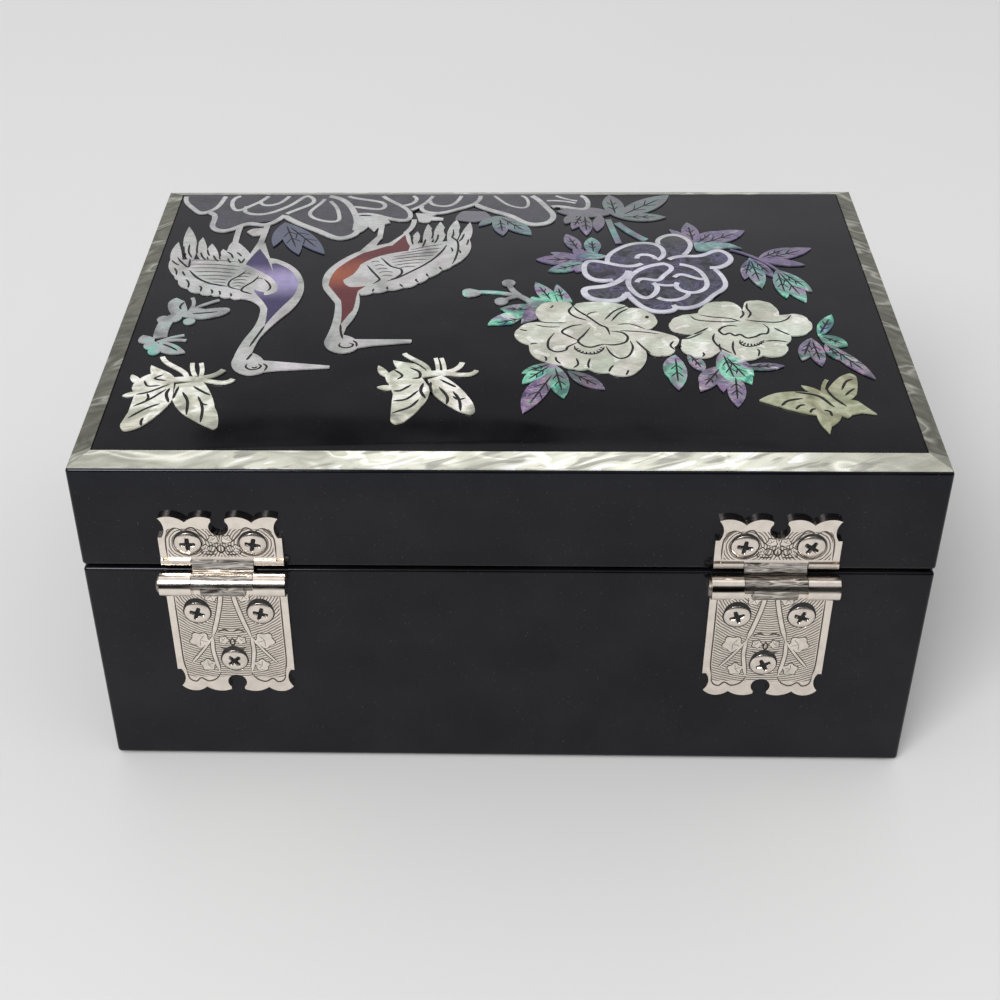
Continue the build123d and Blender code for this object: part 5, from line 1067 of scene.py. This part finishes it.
class JEWELRYBOX_OT_stage(bpy.types.Operator):
    """Set up the floor, lamp, surroundings and camera"""

    bl_idname = "jewelrybox.stage"
    bl_label = "Stage"
    bl_options = {"REGISTER", "UNDO"}

    camera_place = (-0.0000445, 0.334081, 0.271262)
    azimuth = -2.3259
    elevation = 36.6957
    roll = -1.0979
    lens = 58.84
    shift = (0.0472, 0.0161)
    lamp_place = Vector((1.0, 1.7, 2.0))
    lamp_target = Vector((0, 0.1, 0))
    lamp_size = 1.2

    def execute(self, context):
        look = context.scene.jewelry_stage
        scene = context.scene
        scene.view_settings.view_transform = "Standard"
        self.floor(look)
        self.surroundings(scene, look)
        self.lamp(look)
        camera_data = bpy.data.cameras.new("camera")
        camera_data.lens = self.lens
        camera_data.sensor_width = 36
        camera_data.shift_x, camera_data.shift_y = self.shift
        camera = bpy.data.objects.new("camera", camera_data)
        scene.collection.objects.link(camera)
        camera.matrix_world = self.camera_matrix()
        scene.camera = camera
        return {"FINISHED"}

    def camera_matrix(self):
        """Camera axes from azimuth, elevation and roll about its line of sight."""
        azimuth, elevation, roll = map(radians, (self.azimuth, self.elevation, self.roll))
        level_part = np.cos(elevation)
        back = Vector((np.sin(azimuth) * level_part, np.cos(azimuth) * level_part,
                       np.sin(elevation)))
        level = Vector((0, 0, 1)).cross(back).normalized()
        upright = back.cross(level)
        right = level * np.cos(roll) + upright * np.sin(roll)
        up = upright * np.cos(roll) - level * np.sin(roll)
        turn = Matrix((right, up, back)).transposed().to_4x4()
        return Matrix.Translation(self.camera_place) @ turn

    def floor(self, look):
        """Wide pale floor, on which the box stands."""
        mesh = bpy.data.meshes.new("floor")
        signs = ((-1, -1), (1, -1), (1, 1), (-1, 1))
        mesh.from_pydata([(x * FLOOR_REACH, y * FLOOR_REACH, 0) for x, y in signs], [],
                         [(0, 1, 2, 3)])
        material, add, shader, place = new_material("floor_look")
        tones = [(tone, tone, tone, 1) for tone in (look.floor_tone, look.floor_tone * 1.05)]
        mottle = grain(add, place, 0.004, 2)
        coat(add, shader, add("Mix", [mottle, *tones], **COLOURS), 0.6)
        mesh.materials.append(material)
        floor = bpy.data.objects.new("floor", mesh)
        bpy.context.scene.collection.objects.link(floor)

    def surroundings(self, scene, look):
        """Even light for the room, and a plain backdrop for the camera. Mirrored rays see, with s
        the sine of their elevation and a their part along x, a glow of 1.01 - s on the far side,
        weaker where |a| > 0.34, with an uneven dark band along s + 1.48 a^2 = 0.63 and bright
        lamps overhead. On the hinge side they see a dim region below 44 degrees."""
        world = bpy.data.worlds.new("room")
        scene.world = world
        world.use_nodes = True
        world.node_tree.nodes.clear()
        add = partial(add_node, world.node_tree)
        direction = add("TexCoord").node.outputs["Generated"]
        along, depth, rise = add("SeparateXYZ", [direction]).node.outputs
        far = add("Math", [add("Math", [1.01, rise], **LESS), 0.1], operation="MAXIMUM")
        bend = add("Math", [add("Math", [along, along], **TIMES), 1.48, rise], **TIMES_PLUS)
        wavy = add("MapRange", [grain(add, direction, 4.0, 2), 0.3, 0.7, -0.633, -0.627], **SMOOTH)
        level = add("Math", [add("Math", [bend, wavy])], **SIZE)
        width = add("MapRange", [along, -0.1, 0.05, 0.002, 0.008], **SMOOTH)
        dark = add("MapRange", [add("Math", [level, width], **LESS), -0.0008, 0.0008, 1, 0],
                   **SMOOTH)
        dark = add("Math", [dark, window(add, along, -0.18, -0.16, 0.18, 0.2)], **TIMES)
        far = add("Math", [dark, -0.33, far], **TIMES_PLUS)
        aside = add("MapRange", [add("Math", [along], **SIZE), 0.3, 0.38, 1, 0.4], **SMOOTH)
        lamps = add("MapRange", [rise, 0.88, 0.95, 0, 1.3], **SMOOTH)
        far = add("Math", [far, aside, lamps], **TIMES_PLUS)
        near = add("MapRange", [rise, 0.7, 0.78, 0.05, 0.7], **SMOOTH)
        glow = add("Mix", [add("MapRange", [depth, -0.1, 0.15], **SMOOTH), far, near])
        plain = add("Background", [(1, 1, 1, 1), look.room_tone])
        mirrored = add("Background", [(1, 0.99, 1, 1), glow])
        backdrop = add("Background", [(1, 1, 1, 1), look.backdrop_tone])
        rays = add("LightPath").node.outputs
        shader = add("MixShader", [rays["Is Glossy Ray"], plain, mirrored])
        shader = add("MixShader", [rays["Is Camera Ray"], shader, backdrop])
        add("OutputWorld", [shader])

    def lamp(self, look):
        """Square soft lamp on the hinge side that looks at the box."""
        data = bpy.data.lights.new("key", "AREA")
        data.size = self.lamp_size
        data.energy = look.key_power
        lamp = bpy.data.objects.new("key", data)
        lamp.location = self.lamp_place
        aim = self.lamp_target - self.lamp_place
        lamp.rotation_euler = aim.to_track_quat("-Z", "Y").to_euler()
        bpy.context.scene.collection.objects.link(lamp)


class JEWELRYBOX_PT_panel(bpy.types.Panel):
    """Panel with the settings and the steps"""

    bl_idname = "JEWELRYBOX_PT_panel"
    bl_label = "Jewelry box"
    bl_space_type = "VIEW_3D"
    bl_region_type = "UI"
    bl_category = "Jewelry box"

    def draw(self, context):
        for settings in (context.scene.jewelry_box, context.scene.jewelry_stage):
            for name in settings.__annotations__:
                self.layout.prop(settings, name)
        for operator in OPERATORS:
            self.layout.operator(operator.bl_idname)


OPERATORS = (
    JEWELRYBOX_OT_finishes,
    JEWELRYBOX_OT_inlay_lines,
    JEWELRYBOX_OT_hinge_engraving,
    JEWELRYBOX_OT_screws,
    JEWELRYBOX_OT_ring_rolls,
    JEWELRYBOX_OT_stage,
)
CLASSES = (BoxLook, StageLook, *OPERATORS, JEWELRYBOX_PT_panel)


def register():
    """Add the classes and their settings to Blender."""
    for item in CLASSES:
        bpy.utils.register_class(item)
    bpy.types.Scene.jewelry_box = bpy.props.PointerProperty(type=BoxLook)
    bpy.types.Scene.jewelry_stage = bpy.props.PointerProperty(type=StageLook)


def unregister():
    """Take them out again."""
    del bpy.types.Scene.jewelry_stage
    del bpy.types.Scene.jewelry_box
    for item in reversed(CLASSES):
        bpy.utils.unregister_class(item)


def main():
    """Run every step in order."""
    register()
    bpy.ops.jewelrybox.finishes()
    bpy.ops.jewelrybox.inlay_lines()
    bpy.ops.jewelrybox.hinge_engraving()
    bpy.ops.jewelrybox.screws()
    bpy.ops.jewelrybox.ring_rolls()
    bpy.ops.jewelrybox.stage()


if __name__ == "__main__":
    main()
